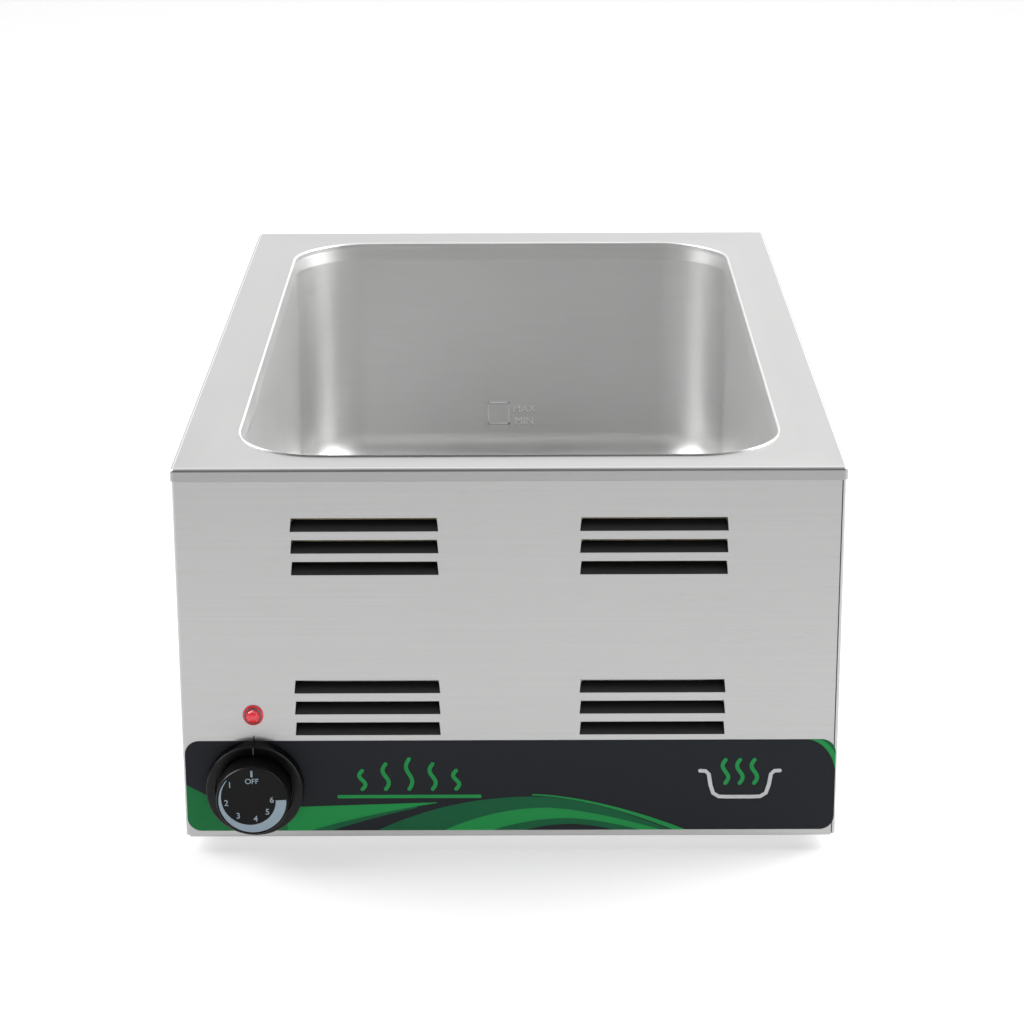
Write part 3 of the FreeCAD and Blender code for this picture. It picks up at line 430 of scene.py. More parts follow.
def lathe(profile, centre, towards="front", steps=96, flute=None):
    """Solid of revolution; the profile's heights run out of the front, out of the rear or upwards."""
    axes = {
        "front": lambda r, a, h: Vector((r * math.cos(a), -h, r * math.sin(a))),
        "rear": lambda r, a, h: Vector((r * math.cos(a), h, r * math.sin(a))),
        "up": lambda r, a, h: Vector((r * math.cos(a), r * math.sin(a), h)),
    }
    rings = []
    for radius, height in rounded(profile):
        ring = []
        for step in range(steps):
            angle = 2 * math.pi * step / steps
            reach = radius if flute is None else radius + flute(angle, radius, height)
            ring.append(Vector(centre) + axes[towards](max(reach, 0.0001), angle, height))
        rings.append(ring)
    return skin(rings, cap_first=profile[0][0] < 0.001, cap_last=profile[-1][0] < 0.001)


# ---------------------------------------------------------------- deck and well


def well_ring(spread, z, radius_extra=0.0):
    """Ring round the well's inner wall, moved outwards by spread."""
    return plan_ring(WELL_HIGH.x - GAUGE + spread, WELL_LOW.y + GAUGE - spread, WELL_HIGH.y - GAUGE + spread,
                     WELL_CORNER + spread + radius_extra, z)


def deck_ring(inset, z):
    return plan_ring(DECK_HIGH.x - inset, DECK_LOW.y + inset, DECK_HIGH.y - inset, LIP_CORNER - inset, z)


def arc_steps(bend, count=8):
    """Pairs (1 - cos, 1 - sin) times bend over a quarter turn."""
    for step in range(count + 1):
        angle = step * math.pi / 2 / count
        yield bend * (1 - math.cos(angle)), bend * (1 - math.sin(angle))


def make_deck():
    """Deck sheet: folded lip, flat top, rolled edge into the well and its short collar."""
    lip_end = PANEL_HIGH.z + GAUGE - 7.2
    rings = [deck_ring(GAUGE, lip_end), deck_ring(0.2, lip_end), deck_ring(0, lip_end + 0.2)]
    for inset, drop in arc_steps(LIP_BEND):
        rings.append(deck_ring(inset, DECK_TOP - drop))
    for along, down in reversed(list(arc_steps(RIM_BEND))):
        rings.append(well_ring(down, DECK_TOP - along))
    collar = DECK_LOW.z
    rings.append(well_ring(0, collar))
    rings.append(well_ring(GAUGE, collar))
    rings.append(well_ring(GAUGE, DECK_TOP - GAUGE))
    rings.append(deck_ring(GAUGE, DECK_TOP - GAUGE))
    deck = finish_mesh("deck", skin(rings, closed=True), DECK_STEEL, replaces=("top_deck",))
    # Second material, the lighter well steel on the collar and rim: painted light.
    deck.data.materials.append(COLLAR_LIT_STEEL)
    # Third material, the darker lip steel on the lip and underside: painted shade.
    deck.data.materials.append(LIP_SHADE_STEEL)
    for face in deck.data.polygons:
        if face.center.z < (DECK_TOP - 0.05) * MM:
            across = abs(face.center.x) / MM < WELL_HIGH.x + 0.2
            along = WELL_LOW.y - 0.2 < face.center.y / MM < WELL_HIGH.y + 0.2
            in_well = across and along
            face.material_index = 1 if in_well else 2
    return deck


def make_well():
    """Drawn tub with a wide floor bend and a floor dished by half a millimetre."""
    top = DECK_LOW.z
    floor = WELL_LOW.z + GAUGE
    rings = [well_ring(0, top - step * (top - floor - FLOOR_BEND) / 6) for step in range(7)]
    for inset, rise in list(arc_steps(FLOOR_BEND, 16))[1:]:
        rings.append(well_ring(-inset, floor + rise))
    for inset, dish in ((40, 0.15), (70, 0.3), (100, 0.42), (130, 0.5)):
        rings.append(well_ring(-inset, floor - dish))
    inner = list(rings)
    under = WELL_LOW.z
    outer = [well_ring(GAUGE, top), well_ring(GAUGE, under + FLOOR_BEND + GAUGE)]
    for inset, rise in list(arc_steps(FLOOR_BEND + GAUGE, 16))[1:]:
        outer.append(well_ring(GAUGE - inset, under + rise))
    outer.append(well_ring(-130, under))
    mesh = skin(list(reversed(inner)) + outer, cap_first=True, cap_last=True)
    return finish_mesh("well", mesh, WELL_STEEL, replaces=("water_well",))


def make_level_mark():
    """Water level mark pressed into the well's rear wall: a square, MAX at its top and MIN at its foot. Each
    is a lighter copy (painted highlight) over a darker copy shifted 0.55 mm down (painted shadow).
    """
    wall = WELL_HIGH.y - GAUGE
    left, right, low, high, stroke = -17.4, -1.6, 89.5, 106.0, 1.0
    bars = (("left", left, left + stroke, low, high), ("right", right - stroke, right, low, high),
            ("low", left, right, low, low + stroke), ("high", left, right, high - stroke, high))
    # face: lighter copy, painted highlight; foot: darker copy shifted down, painted shadow.
    for part, steel, drop, lift in (("face", MARK_HIGHLIGHT_STEEL, 0.0, 0.6), ("foot", MARK_SHADOW_STEEL, 0.55, 0.3)):
        for name, x0, x1, z0, z1 in bars:
            rails = [[(x0, z - drop), (x1, z - drop)] for z in (z0, z1)]
            plate(f"level_{name}_{part}", *rails, wall, lift, steel, "stainless")
        for words, z in (("MAX", 100.4), ("MIN", 91.6)):
            place = Vector((9.0, wall, z - drop))
            piece = raised_words(f"level_{words}_{part}", words, place, 7.6, steel, lift)
            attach(piece, "housing")


# ---------------------------------------------------------------- body sheets

VENT_INNER = 38.9
VENT_LENGTH = 78.5
VENT_FLARE = 0.7
VENT_SLOT = 7.6
VENT_PITCH = 12.4
VENT_TOPS = [top - row * VENT_PITCH for top in (195.3, 101.7) for row in range(3)]
FLAP = 5.3


def sheet_columns(turn, vented):
    """Plan points along an L-shaped sheet with their inward directions and wall names."""
    half_x = DECK_HIGH.x - GAUGE
    half_y = DECK_HIGH.y - GAUGE
    stops = [half_x - SEAM_SETBACK, half_x - LAP - 5]
    if vented:
        stops += [VENT_INNER + VENT_LENGTH, VENT_INNER, -VENT_INNER, -VENT_INNER - VENT_LENGTH]
    stops += [-half_x + SHEET_BEND + 1.6, -half_x + SHEET_BEND]
    columns = [(Vector((x, -half_y)), Vector((0, 1)), "end") for x in stops]
    bend_turns = [step * math.pi / 2 / 8 for step in range(1, 9)]
    centre = Vector((-half_x + SHEET_BEND, -half_y + SHEET_BEND))
    for angle in bend_turns:
        out = Vector((-math.sin(angle), -math.cos(angle)))
        columns.append((centre + out * SHEET_BEND, -out, "bend"))
    back = half_y - GAUGE
    stops = [-half_y + SHEET_BEND + 1.6, -half_y / 2, 0, half_y / 2, back - LAP - 5, back - SHEET_BEND]
    columns += [(Vector((-half_x, y)), Vector((1, 0)), "side") for y in stops]
    centre = Vector((-half_x + SHEET_BEND, back - SHEET_BEND))
    for angle in bend_turns:
        out = Vector((-math.cos(angle), math.sin(angle)))
        columns.append((centre + out * SHEET_BEND, -out, "bend"))
    columns.append((Vector((-half_x + LAP, back)), Vector((0, -1)), "lap"))
    return [(place * turn, inward * turn, wall) for place, inward, wall in columns]


def make_sheet(name, node, turn, vented=False):
    """Folded sheet: walls, bends, bottom flanges with mitred ends, and lanced louvres whose flaps carry
    painted shade.
    """
    columns = sheet_columns(turn, vented)
    low = PANEL_LOW.z
    slot_lows = {top - VENT_SLOT for top in VENT_TOPS}
    stops = sorted(slot_lows.union(VENT_TOPS)) if vented else [120.0]
    heights = [low + FOLD_BEND, *stops, PANEL_HIGH.z]
    mesh = bmesh.new()

    def wall_vertex(place, z):
        x = place.x
        if vented and z in slot_lows and abs(place.y - PANEL_Y) < 0.01:
            if abs(abs(x) - VENT_INNER) < 0.01:
                x -= math.copysign(VENT_FLARE, x)
            elif abs(abs(x) - VENT_INNER - VENT_LENGTH) < 0.01:
                x += math.copysign(VENT_FLARE, x)
        return mesh.verts.new((x, place.y, z))

    grid = [[wall_vertex(place, z) for z in heights] for place, _, _ in columns]
    for index in range(len(columns) - 1):
        left, right = grid[index], grid[index + 1]
        spans = sorted(abs(columns[index + side][0].x) for side in (0, 1))
        in_vent = vented and columns[index][2] == "end" and abs(spans[0] - VENT_INNER) < 0.01 \
            and abs(spans[1] - VENT_INNER - VENT_LENGTH) < 0.01
        for row in range(len(heights) - 1):
            if in_vent and heights[row] in slot_lows:
                add_flap(mesh, left[row], right[row])
                continue
            mesh.faces.new((left[row], right[row], right[row + 1], left[row + 1]))
    for index in range(len(columns) - 1):
        add_flange(mesh, columns, grid, index)
    sheet = finish_mesh(name, mesh, PANEL_STEEL, replaces=(node,), even=False)
    # The flaps' second material is near black: painted shade in the slots.
    sheet.data.materials.append(LOUVRE_SHADE_STEEL)
    thicken(sheet)
    even_normals(sheet)
    return sheet


def add_flap(mesh, left, right):
    """Louvre flap folded 45 degrees inwards from a slot's lower edge, its far corners rounded, its faces
    coloured near black as painted shade.
    """
    corner = 1.5
    middle = (left.co + right.co) / 2
    rows = [(left, right)]
    for share in (0.06, 0.4, 0.75, 0.86, 0.93, 0.97, 1.0):
        depth = FLAP * share
        past = max(0.0, depth - (FLAP - corner))
        trim = VENT_FLARE * share + corner - math.sqrt(corner ** 2 - past ** 2)
        pair = []
        for end in (left, right):
            x = end.co.x + math.copysign(trim, middle.x - end.co.x)
            pair.append(mesh.verts.new((x, end.co.y + depth, end.co.z + max(0.0, depth - 0.15))))
        rows.append(tuple(pair))
    for lower, upper in zip(rows, rows[1:]):
        flap = mesh.faces.new((lower[0], lower[1], upper[1], upper[0]))
        flap.material_index = 1


def add_flange(mesh, columns, grid, index):
    """Bottom fold and flange under one stretch of wall; a seam end has the fold alone, corners none."""
    (place, inward, wall), (after, _, wall_after) = columns[index], columns[index + 1]
    if wall != wall_after or wall == "bend":
        return
    low = PANEL_LOW.z
    rows = [(grid[index][0], grid[index + 1][0])]
    for inset, rise in list(arc_steps(FOLD_BEND, 4))[1:]:
        pair = []
        for spot in (place, after):
            point = spot + inward * inset
            pair.append(mesh.verts.new((point.x, point.y, low + rise)))
        rows.append(tuple(pair))
    walls = [column[0] for column in columns if column[2] == wall]
    if index > 0 and after != walls[-1]:
        first = walls[1] if wall == "end" else walls[0]
        along = (after - place).normalized()
        pair = []
        for spot in (place, after):
            mitre = FLANGE * ((spot == first) - (spot == walls[-2]))
            point = spot + inward * FLANGE + along * mitre
            pair.append(mesh.verts.new((point.x, point.y, low)))
        rows.append(tuple(pair))
    for upper, lower in zip(rows, rows[1:]):
        mesh.faces.new((lower[0], lower[1], upper[1], upper[0]))


def make_seam_lines():
    """Dark strip of painted shade in the joint between a sheet's end and the bend of the sheet lapped behind
    it.
    """
    edge = DECK_HIGH.x - GAUGE - SEAM_SETBACK
    rails = [[(x, z) for z in (PANEL_LOW.z + FOLD_BEND, PANEL_HIGH.z - 6)] for x in (edge + 0.05, edge + 0.6)]
    plate("seam_shade_front", *rails, PANEL_Y + GAUGE, 0.5, LOUVRE_SHADE_STEEL, "stainless")
    rails = [[(-x, z) for x, z in rail] for rail in rails]
    plate("seam_shade_rear", *rails, -PANEL_Y - GAUGE, -0.5, LOUVRE_SHADE_STEEL, "stainless")


def thicken(piece):
    """Give an open sheet its gauge towards the inside and take the burr off its edges."""
    solid = piece.modifiers.new("gauge", "SOLIDIFY")
    solid.thickness = GAUGE * MM
    solid.offset = -1.0
    solid.use_even_offset = True
    edge = piece.modifiers.new("edge", "BEVEL")
    edge.width = 0.12 * MM
    edge.segments = 2
    edge.limit_method = "ANGLE"
    edge.angle_limit = math.radians(50)


# ---------------------------------------------------------------- printed control strip


def plate(name, first, second, base_y, lift_mm, material, slot, body="housing"):
    """Thin closed plate between two rails of (x, z) points, standing lift_mm off the plane base_y."""
    mesh = bmesh.new()
    rows = []
    for a, b in zip(first, second):
        front, back = base_y - lift_mm, base_y
        corners = ((a, front), (b, front), (b, back), (a, back))
        rows.append([mesh.verts.new((rail[0], y, rail[1])) for rail, y in corners])
    for before, after in zip(rows, rows[1:]):
        for side in range(4):
            turn = (side + 1) % 4
            mesh.faces.new((before[side], after[side], after[turn], before[turn]))
    mesh.faces.new(rows[0])
    mesh.faces.new(reversed(rows[-1]))
    return finish_mesh(name, mesh, material, body, sharp=20)


def decal_limits(x):
    """Lowest and highest point of the rounded strip at x."""
    into = max(0.0, min(x - DECAL_LOW.x, DECAL_HIGH.x - x))
    cut = 0.0
    if into < DECAL_CORNER:
        cut = DECAL_CORNER - math.sqrt(DECAL_CORNER ** 2 - (DECAL_CORNER - into) ** 2)
    return DECAL_LOW.z + cut, DECAL_HIGH.z - cut


def print_between(name, left, right, lower, upper, lift_mm, material, steps=96):
    """Printed colour between two curves given as heights above the strip's lower edge."""
    low_rail, high_rail = [], []
    for step in range(steps + 1):
        x = left + (right - left) * (1 - math.cos(math.pi * step / steps)) / 2
        floor, ceiling = decal_limits(x)
        low = min(max(DECAL_LOW.z + lower(x), floor), ceiling - 0.02)
        high = max(min(DECAL_LOW.z + upper(x), ceiling), low + 0.01)
        low_rail.append((x, low))
        high_rail.append((x, high))
    return plate(name, low_rail, high_rail, DECAL_LOW.y, lift_mm, material, "decal_film")


def ribbon(name, points, width_mm, material, lift_mm=0.03):
    """Printed stroke of even width along (x, z) points, its ends rounded."""
    spots = [Vector(point) for point in points]
    left, right = [], []
    for index, spot in enumerate(spots):
        before = spots[max(0, index - 1)]
        after = spots[min(len(spots) - 1, index + 1)]
        along = (after - before).normalized()
        across = Vector((-along.y, along.x)) * width_mm / 2
        if index in (0, len(spots) - 1):
            outward = along if index else -along
            cap = [(math.cos(a), math.sin(a)) for a in (math.pi / 2 * step / 5 for step in range(6))]
            ends = []
            for c, k in cap:
                tip = spot + outward * width_mm / 2 * k
                ends.append((tip + across * c, tip - across * c))
            if index == 0:
                ends.reverse()
            ends = [pair for pair in ends if (pair[0] - pair[1]).length > 0.01]
            left += [pair[0] for pair in ends]
            right += [pair[1] for pair in ends]
        else:
            left.append(spot + across)
            right.append(spot - across)
    return plate(name, left, right, DECAL_LOW.y, lift_mm, material, "decal_film")


def hump(centre, left, right, height, left_power=2.2, right_power=1.65):
    """Smooth hill on the strip's lower edge, with its own reach to the left and to the right."""
    def curve(x):
        reach, power = (left, left_power) if x < centre else (right, right_power)
        return height * (1 - min(1.0, abs(x - centre) / reach) ** power)
    return curve


def line(x0, z0, x1, z1, sag=0.0):
    """Height along a straight line between two points, pulled down by sag in its middle."""
    def curve(x):
        along = (x - x0) / (x1 - x0)
        return z0 + (z1 - z0) * along - 4 * sag * along * (1 - along)
    return curve


def flat(_):
    return 0.0


def make_decal():
    """Charcoal film with a plain pattern of green waves and two steam pictograms."""
    ring = []
    corners = [(DECAL_HIGH.x, DECAL_LOW.z), (DECAL_HIGH.x, DECAL_HIGH.z), (DECAL_LOW.x, DECAL_HIGH.z),
               (DECAL_LOW.x, DECAL_LOW.z)]
    middle = (DECAL_LOW.z + DECAL_HIGH.z) / 2
    for corner, (x, z) in enumerate(corners):
        centre = Vector((x - math.copysign(DECAL_CORNER, x), z - math.copysign(DECAL_CORNER, z - middle)))
        for step in range(11):
            angle = (corner - 1) * math.pi / 2 + step * math.pi / 20
            ring.append(centre + DECAL_CORNER * Vector((math.cos(angle), math.sin(angle))))
    rings = [[Vector((spot.x, y, spot.y)) for spot in ring] for y in (PANEL_Y, DECAL_LOW.y)]
    finish_mesh("decal", skin(rings, cap_first=True, cap_last=True), CHARCOAL,
                replaces=("front_decal",))
    left = DECAL_LOW.x
    right = DECAL_HIGH.x
    top = DECAL_HIGH.z - DECAL_LOW.z
    print_between("wave_left", left, -116, flat, line(left, 28, -116, 7, 4.5), 0.02, GREEN_MID)
    under = line(-118, -2, -41, 16.4, -1.6)
    print_between("wave_swoosh_shade", -118, -52, line(-104, -1.5, -52, 13.6, -0.8), under, 0.02, GREEN_DEEP)
    print_between("wave_swoosh", -124, -41, under, line(-124, 14.2, -41, 16.9), 0.03, GREEN_BRIGHT)
    print_between("wave_large", -74, 88.5, flat, hump(15, 89, 73.5, 20.2), 0.04, GREEN_DEEP)
    crest = hump(12, 62, 78.5, 20.9)
    print_between("wave_crest", 12, 97.5, crest, hump(12, 62, 85.5, 21.7), 0.05, GREEN_BRIGHT)
    print_between("wave_middle", -36.8, 83.5, flat, hump(20, 56.8, 63.5, 13.5, 2.0, 1.5), 0.06, GREEN_BRIGHT)
    print_between("wave_small", -10, 72, flat, hump(32, 42, 40, 7.2, 2.0, 1.6), 0.07, GREEN_DEEP)
    print_between("wave_inner", 8, 58, flat, hump(33, 25, 25, 3.6, 2.0, 1.8), 0.08, CHARCOAL)
    edge = right - 16.5

    def ceiling(_):
        return top

    def accent(x):
        part = (x - edge) / (right - edge + 0.5)
        return top - 24 * (1 - math.sqrt(max(0.0, 1 - part ** 2)))

    def inner_accent(x):
        return accent(x - 2.6) + 1.2

    print_between("accent_bright", edge, right, accent, ceiling, 0.02, GREEN_BRIGHT)
    print_between("accent_deep", edge + 3, right, inner_accent, ceiling, 0.03, GREEN_DEEP)
    make_pictograms(middle)


def wisp(x, low, high, sway):
    """S-shaped wisp of steam between two heights."""
    steps = 20
    return [(x + sway * math.sin(2 * math.pi * step / steps), low + (high - low) * step / steps)
            for step in range(steps + 1)]


def make_pictograms(middle):
    """Five wisps over a hot plate at the left, a pan with three wisps at the right."""
    foot = middle - 2
    for index, height in enumerate((11, 15, 18, 15, 11)):
        ribbon(f"steam_mark_{index}", wisp(-82 + 13 * index, foot, foot + height, 1.7), 2.2, GREEN_BRIGHT)
    ribbon("steam_mark_base", [(-95 + 13 * step, middle - 6.5) for step in range(7)], 2.0, GREEN_BRIGHT)
    side = [(105, 8.5), (108, 8.3), (109.8, 6.5), (110.8, 0), (112.4, -5), (115.5, -7), (120, -7.2)]
    pan = side + [(254 - x, z) for x, z in reversed(side)]
    ribbon("pan_mark", [(x, middle + z) for x, z in pan], 2.2, PRINT_WHITE)
    for index in range(3):
        ribbon(f"pan_steam_{index}", wisp(119 + 8 * index, middle + 1, middle + 15, 1.6), 2.2, GREEN_BRIGHT)


# ---------------------------------------------------------------- knob, lamp


def make_bezel():
    """Deep black collar with a sunk floor; its front edge carries a fine bead."""
    proud = PANEL_Y - BEZEL_LOW.y
    film = PANEL_Y - BEZEL_HIGH.y
    radius = (BEZEL_HIGH.x - BEZEL_LOW.x) / 2
    profile = [(9, 2.9, 0), (9, BEZEL_FLOOR, 0.1), (BEZEL_OPENING, BEZEL_FLOOR, 0.3),
               (BEZEL_OPENING, proud - 0.35, 0.25), (radius - 1.0, proud, 0.35),
               (radius - 0.35, proud - 0.7, 0.4), (radius, film, 0), (radius - 1.2, film, 0),
               (radius - 2.4, 2.9, 0.3), (9, 2.9, 0)]
    finish_mesh("bezel", lathe(profile, KNOB_CENTRE, steps=144), BEZEL_BLACK,
                replaces=("knob_bezel",))
    top = KNOB_CENTRE.z + radius
    rails = [[(KNOB_CENTRE.x + side * 0.35, z) for z in (top - 5.6, top - 1.4)] for side in (-1, 1)]
    plate("bezel_index", *rails, PANEL_Y - proud, -0.25, PRINT_GREY, "knob_black")
    above = DECAL_HIGH.z
    rails = [[(KNOB_CENTRE.x + side * 0.3, z) for z in (above + 0.2, above + 3.2)] for side in (-1, 1)]
    plate("panel_index", *rails, PANEL_Y, 0.03, CHARCOAL, "decal_film")


def make_knob():
    """Hollow knob with a rim bead round a slightly sunk face."""
    proud = PANEL_Y - KNOB_LOW.y
    start = PANEL_Y - KNOB_HIGH.y
    skirt = (KNOB_HIGH.x - KNOB_LOW.x) / 2
    radius = skirt - 0.6
    profile = [(0, proud - 4.2, 0), (4.6, proud - 4.2, 0), (4.6, start + 2.3, 0), (7, start + 2.3, 0.3),
               (7, proud - 4.2, 0.5), (radius - 2.4, proud - 4.2, 0.6), (skirt - 1.6, start, 0.2),
               (skirt, start, 0.2), (radius, proud - 0.8, 0.4), (radius - 0.45, proud, 0.3),
               (radius - 0.95, proud, 0.2), (radius - 1.2, proud - FACE_SINK, 0.15),
               (0, proud - FACE_SINK, 0)]
    finish_mesh("knob", lathe(profile, KNOB_CENTRE, steps=144), KNOB_BLACK, "knob",
                ("thermostat_knob",))
    make_dial_marks(KNOB_LOW.y + FACE_SINK)


def dial_point(radius, angle, face_y, lift=0.04):
    """Point on the dial; angles run counter-clockwise from the top, in degrees."""
    turn = math.radians(angle)
    across, up = -radius * math.sin(turn), radius * math.cos(turn)
    return Vector((KNOB_CENTRE.x + across, face_y - lift, KNOB_CENTRE.z + up))


def raised_words(name, words, place, size, material, lift, swell=0.0):
    """Upright words standing lift off a wall that faces the front, centred on place."""
    curve = bpy.data.curves.new(name, "FONT")
    curve.body = words
    curve.size = size * MM
    curve.offset = swell * MM
    curve.extrude = lift * MM
    curve.align_x = "CENTER"
    curve.align_y = "CENTER"
    text = bpy.data.objects.new(name + "_curve", curve)
    SCENE.collection.objects.link(text)
    bpy.context.view_layer.update()
    mesh = bpy.data.meshes.new_from_object(text.evaluated_get(bpy.context.evaluated_depsgraph_get()))
    bpy.data.objects.remove(text)
    mesh.transform(Matrix.Translation(place * MM) @ Matrix.Rotation(math.radians(90), 4, "X"))
    mesh.materials.clear()
    mesh.materials.append(material)
    piece = bpy.data.objects.new(name, mesh)
    SCENE.collection.objects.link(piece)
    return piece


def dial_text(name, words, radius, angle, size, face_y):
    """Raised print of a numeral or of OFF, upright on the dial."""
    piece = raised_words(name, words, dial_point(radius, angle, face_y, 0.0), size, PRINT_BLUE, 0.03, 0.035)
    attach(piece, "knob")


def make_dial_marks(face_y):
    """OFF with its tick, six numerals and the widening heat band."""
    spiral = ((52, 15.4), (95, 14.4), (138, 12.0), (188, 10.8), (231, 10.4), (273, 10.7))
    for number, (angle, reach) in enumerate(spiral, 1):
        dial_text(f"dial_{number}", str(number), reach, angle, 4.9, face_y)
    dial_text("dial_off", "OFF", 11.6, 0, 4.3, face_y)
    tick = [[(KNOB_CENTRE.x + side, KNOB_CENTRE.z + rise) for rise in (14.3, 18.0)] for side in (-0.55, 0.55)]
    plate("dial_off_tick", *tick, face_y, 0.05, PRINT_BLUE, "knob_black", "knob")
    first, last, steps = 48, 272, 90
    outer, inner = [], []
    for step in range(steps + 1):
        angle = first + (last - first) * step / steps
        width = 0.3 + 5.5 * math.sin(math.pi / 2 * step / steps) ** 1.2
        for rail, reach in ((outer, 18.6), (inner, 18.6 - width)):
            point = dial_point(reach, angle, face_y)
            rail.append((point.x, point.z))
    plate("dial_band", outer, inner, face_y, 0.04, PRINT_BLUE, "knob_black", "knob")


def make_lamp():
    """Red lens with a flange, a fine chrome ring on the flange coloured near black as a painted dark
    reflection, and an eight-sided dome.
    """
    low, high = box_mm("pilot_lens")
    centre = Vector(((low.x + high.x) / 2, PANEL_Y, (low.z + high.z) / 2))
    flange = (high.x - low.x) / 2

    def facets(angle, radius, height):
        if height < 2.3 or radius < 0.5:
            return 0.0
        part = math.pi / 4
        return radius * (math.cos(part / 2) / math.cos((angle % part) - part / 2) - 1)

    lens = [(0, -6, 0), (3.4, -6, 0), (3.4, 0, 0), (flange, 0, 0), (flange, 0.9, 0.4),
            (flange - 0.8, 1.4, 0.4), (3.9, 1.4, 0.1), (3.9, 2.6, 0.2), (3.0, 3.7, 0.1), (1.6, 4.1, 0.1),
            (0, 4.2, 0)]
    finish_mesh("lamp_lens", lathe(lens, centre, flute=facets), LENS_RED,
                replaces=("pilot_lens",), sharp=20)
    ring = [(4.15, 1.4, 0), (4.9, 1.4, 0), (4.9, 1.9, 0.2), (4.6, 2.2, 0.15), (4.15, 2.2, 0.1),
            (4.15, 1.4, 0)]
    finish_mesh("lamp_ring", lathe(ring, centre), CHROME_PAINTED_DARK, replaces=("pilot_ring",))


# ---------------------------------------------------------------- rear and underside


def make_gland():
    """Moulded cord gland: hexagon, fluted dome nut and rubber seal."""
    low, high = box_mm("cord_gland")
    centre = Vector(((low.x + high.x) / 2, DECK_HIGH.y - GAUGE, (low.z + high.z) / 2))
    proud = high.y - centre.y

    def hexed(angle, radius, height):
        if radius < 10.4:
            return 0.0
        part = math.pi / 3
        return 10.5 / math.cos((angle % part) - part / 2) - radius

    collar = [(6.5, 0, 0), (10.5, 0, 0), (10.5, 4.4, 0), (10.0, 5, 0), (6.5, 5, 0), (6.5, 0, 0)]
    finish_mesh("gland_collar", lathe(collar, centre, "rear", flute=hexed), NYLON,
                replaces=("cord_gland",))

    def flutes(angle, radius, height):
        if radius < 8.6 or height > proud - 3:
            return 0.0
        return -0.45 * (0.5 + 0.5 * math.cos(18 * angle)) ** 3

    dome = [(6.5, 5.2, 0), (9.6, 5.2, 0.3), (9.6, 14, 0), (9.6, proud - 3.4, 2.0), (7.6, proud, 0.8),
            (6.0, proud, 0.5), (6.0, proud - 3, 0), (6.5, proud - 4, 0), (6.5, 5.2, 0)]
    finish_mesh("gland_dome", lathe(dome, centre, "rear", flute=flutes, steps=144), NYLON)
    thread = [(6.5, -12, 0), (8, -12, 0.4), (8, 0, 0), (6.5, 0, 0), (6.5, -12, 0)]
    finish_mesh("gland_thread", lathe(thread, centre, "rear"), NYLON)
    seal_low, seal_high = box_mm("gland_seal")
    inner, outer = seal_low.y - centre.y, seal_high.y - centre.y
    seal = [(4.25, inner, 0), (6.3, inner, 0), (6.3, outer - 1, 0), (5.6, outer, 0.5), (4.25, outer, 0.3),
            (4.25, inner, 0)]
    finish_mesh("gland_seal_ring", lathe(seal, centre, "rear"), RUBBER, replaces=("gland_seal",))


FOOT_SPOTS = [(x, y) for x in (-139, 139) for y in (-240.5, 240.5)]
BASE_SCREW_SPOTS = [(side * 170.5, y) for side in (-1, 1) for y in (-200, 0, 200)]
BASE_SCREW_SPOTS += [(x, end * 272) for x in (-60, 60) for end in (-1, 1)]


def merge(meshes):
    """One bmesh out of several."""
    whole = bmesh.new()
    for part in meshes:
        data = bpy.data.meshes.new("part")
        part.to_mesh(data)
        part.free()
        whole.from_mesh(data)
        bpy.data.meshes.remove(data)
    return whole


def make_feet():
    top = box_mm("rubber_feet")[1].z
    profile = [(2.4, top, 0), (11.5, top, 0.2), (12.4, top - 1, 0.6), (13, 1.2, 0.8), (12, 0, 0.4),
               (10.8, 0, 0.2), (10.2, 0.5, 0.2), (8.4, 0.5, 0.2), (7.8, 0, 0.2), (6.5, 0, 0.3),
               (6.5, 3.4, 0.3), (2.4, 3.4, 0), (2.4, top, 0)]
    feet = merge([lathe(profile, (x, y, 0), "up", 64) for x, y in FOOT_SPOTS])
    finish_mesh("feet", feet, RUBBER, replaces=("rubber_feet",))


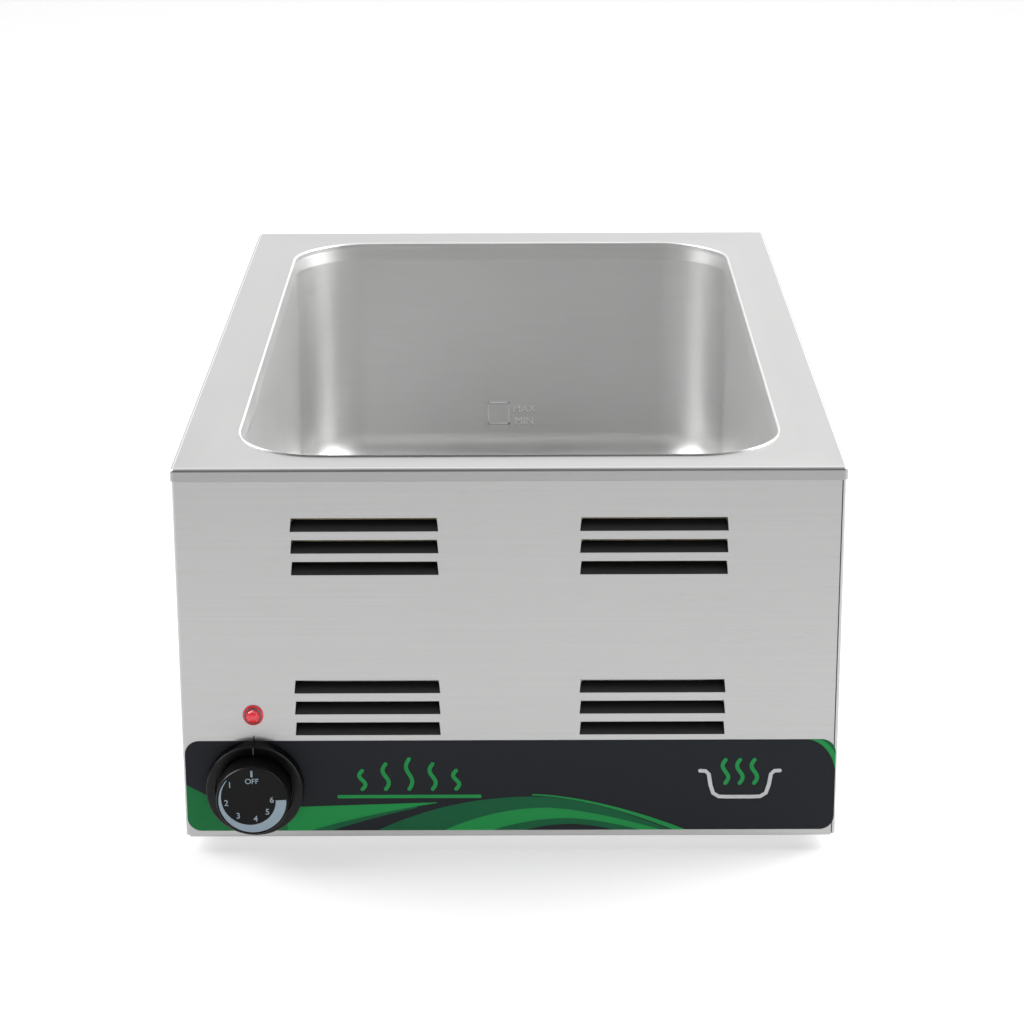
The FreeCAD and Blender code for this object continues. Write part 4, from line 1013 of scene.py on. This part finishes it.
def pan_screw(x, y, seat, radius, shank, length):
    """Pan-head screw seen from below, with a cross recess."""
    def cross(angle, reach, height):
        if reach > radius * 0.56 or reach < 0.3:
            return 0.0
        arm = abs(math.cos(2 * angle)) ** 6
        return reach * (arm - 1) * 0.72
    profile = [(0, -1.2, 0), (radius * 0.3, -1.3, 0), (radius * 0.55, -2.0, 0), (radius * 0.75, -2.0, 0.2),
               (radius, -1.0, 0.5), (radius, 0, 0.1), (shank, 0, 0), (shank, length, 0.3), (0, length, 0)]
    return lathe(profile, (x, y, seat), "up", 48, cross)


def make_screws():
    seat = box_mm("base_plate")[0].z
    screws = [pan_screw(x, y, seat, 3.8, 1.8, 7) for x, y in BASE_SCREW_SPOTS]
    finish_mesh("base_screw_set", merge(screws), ZINC, replaces=("base_screws",), sharp=30)
    low = box_mm("foot_screws")[0].z
    screws = [pan_screw(x, y, low + 1.8, 4, 2, 10.2) for x, y in FOOT_SPOTS]
    finish_mesh("foot_screw_set", merge(screws), ZINC, replaces=("foot_screws",), sharp=30)


# ---------------------------------------------------------------- carried-over nodes

FINISHES = {
    BASE_STEEL: ("base_plate",),
    ZINC: ("foot_nuts", "deck_weld_studs", "deck_nuts", "earth_stud", "earth_nut", "well_floor_studs",
           "tray_nuts", "terminal_screws", "thermostat_screws", "thermostat_tabs", "pilot_tabs",
           "pilot_clip", "cutout_tabs", "element_pins", "bulb_clips", "knob_spring_sleeve"),
    SPINDLE: ("thermostat_spindle",),
    HOLDER: ("pilot_body",),
    CASE: ("thermostat_body",),
    ELEMENT: ("heating_element",),
    CERAMIC: ("element_beads", "terminal_block"),
    TRAY: ("heat_tray",),
    WOOL: ("insulation_mat", "insulation_blanket"),
    COPPER: ("sensing_bulb", "capillary_tube"),
    CUTOUT: ("high_limit_cutout",),
    NYLON: ("gland_locknut",),
    WIRE_BROWN: ("wire_live", "wire_switched", "wire_limited", "wire_lamp_live"),
    WIRE_BLUE: ("wire_neutral", "wire_lamp_neutral"),
    WIRE_EARTH: ("wire_earth",),
}


def dress_nodes():
    """Give every carried-over CAD node its finish."""
    for material, names in FINISHES.items():
        for name in names:
            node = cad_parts[name]
            node.data.materials.clear()
            node.data.materials.append(material)


make_camera()
make_studio()
make_deck()
make_well()
make_sheet("front_sheet", "front_left_sheet", 1, vented=True)
make_sheet("rear_sheet", "rear_right_sheet", -1)
make_decal()
make_bezel()
make_knob()
make_lamp()
make_level_mark()
make_seam_lines()
make_gland()
make_feet()
make_screws()
dress_nodes()
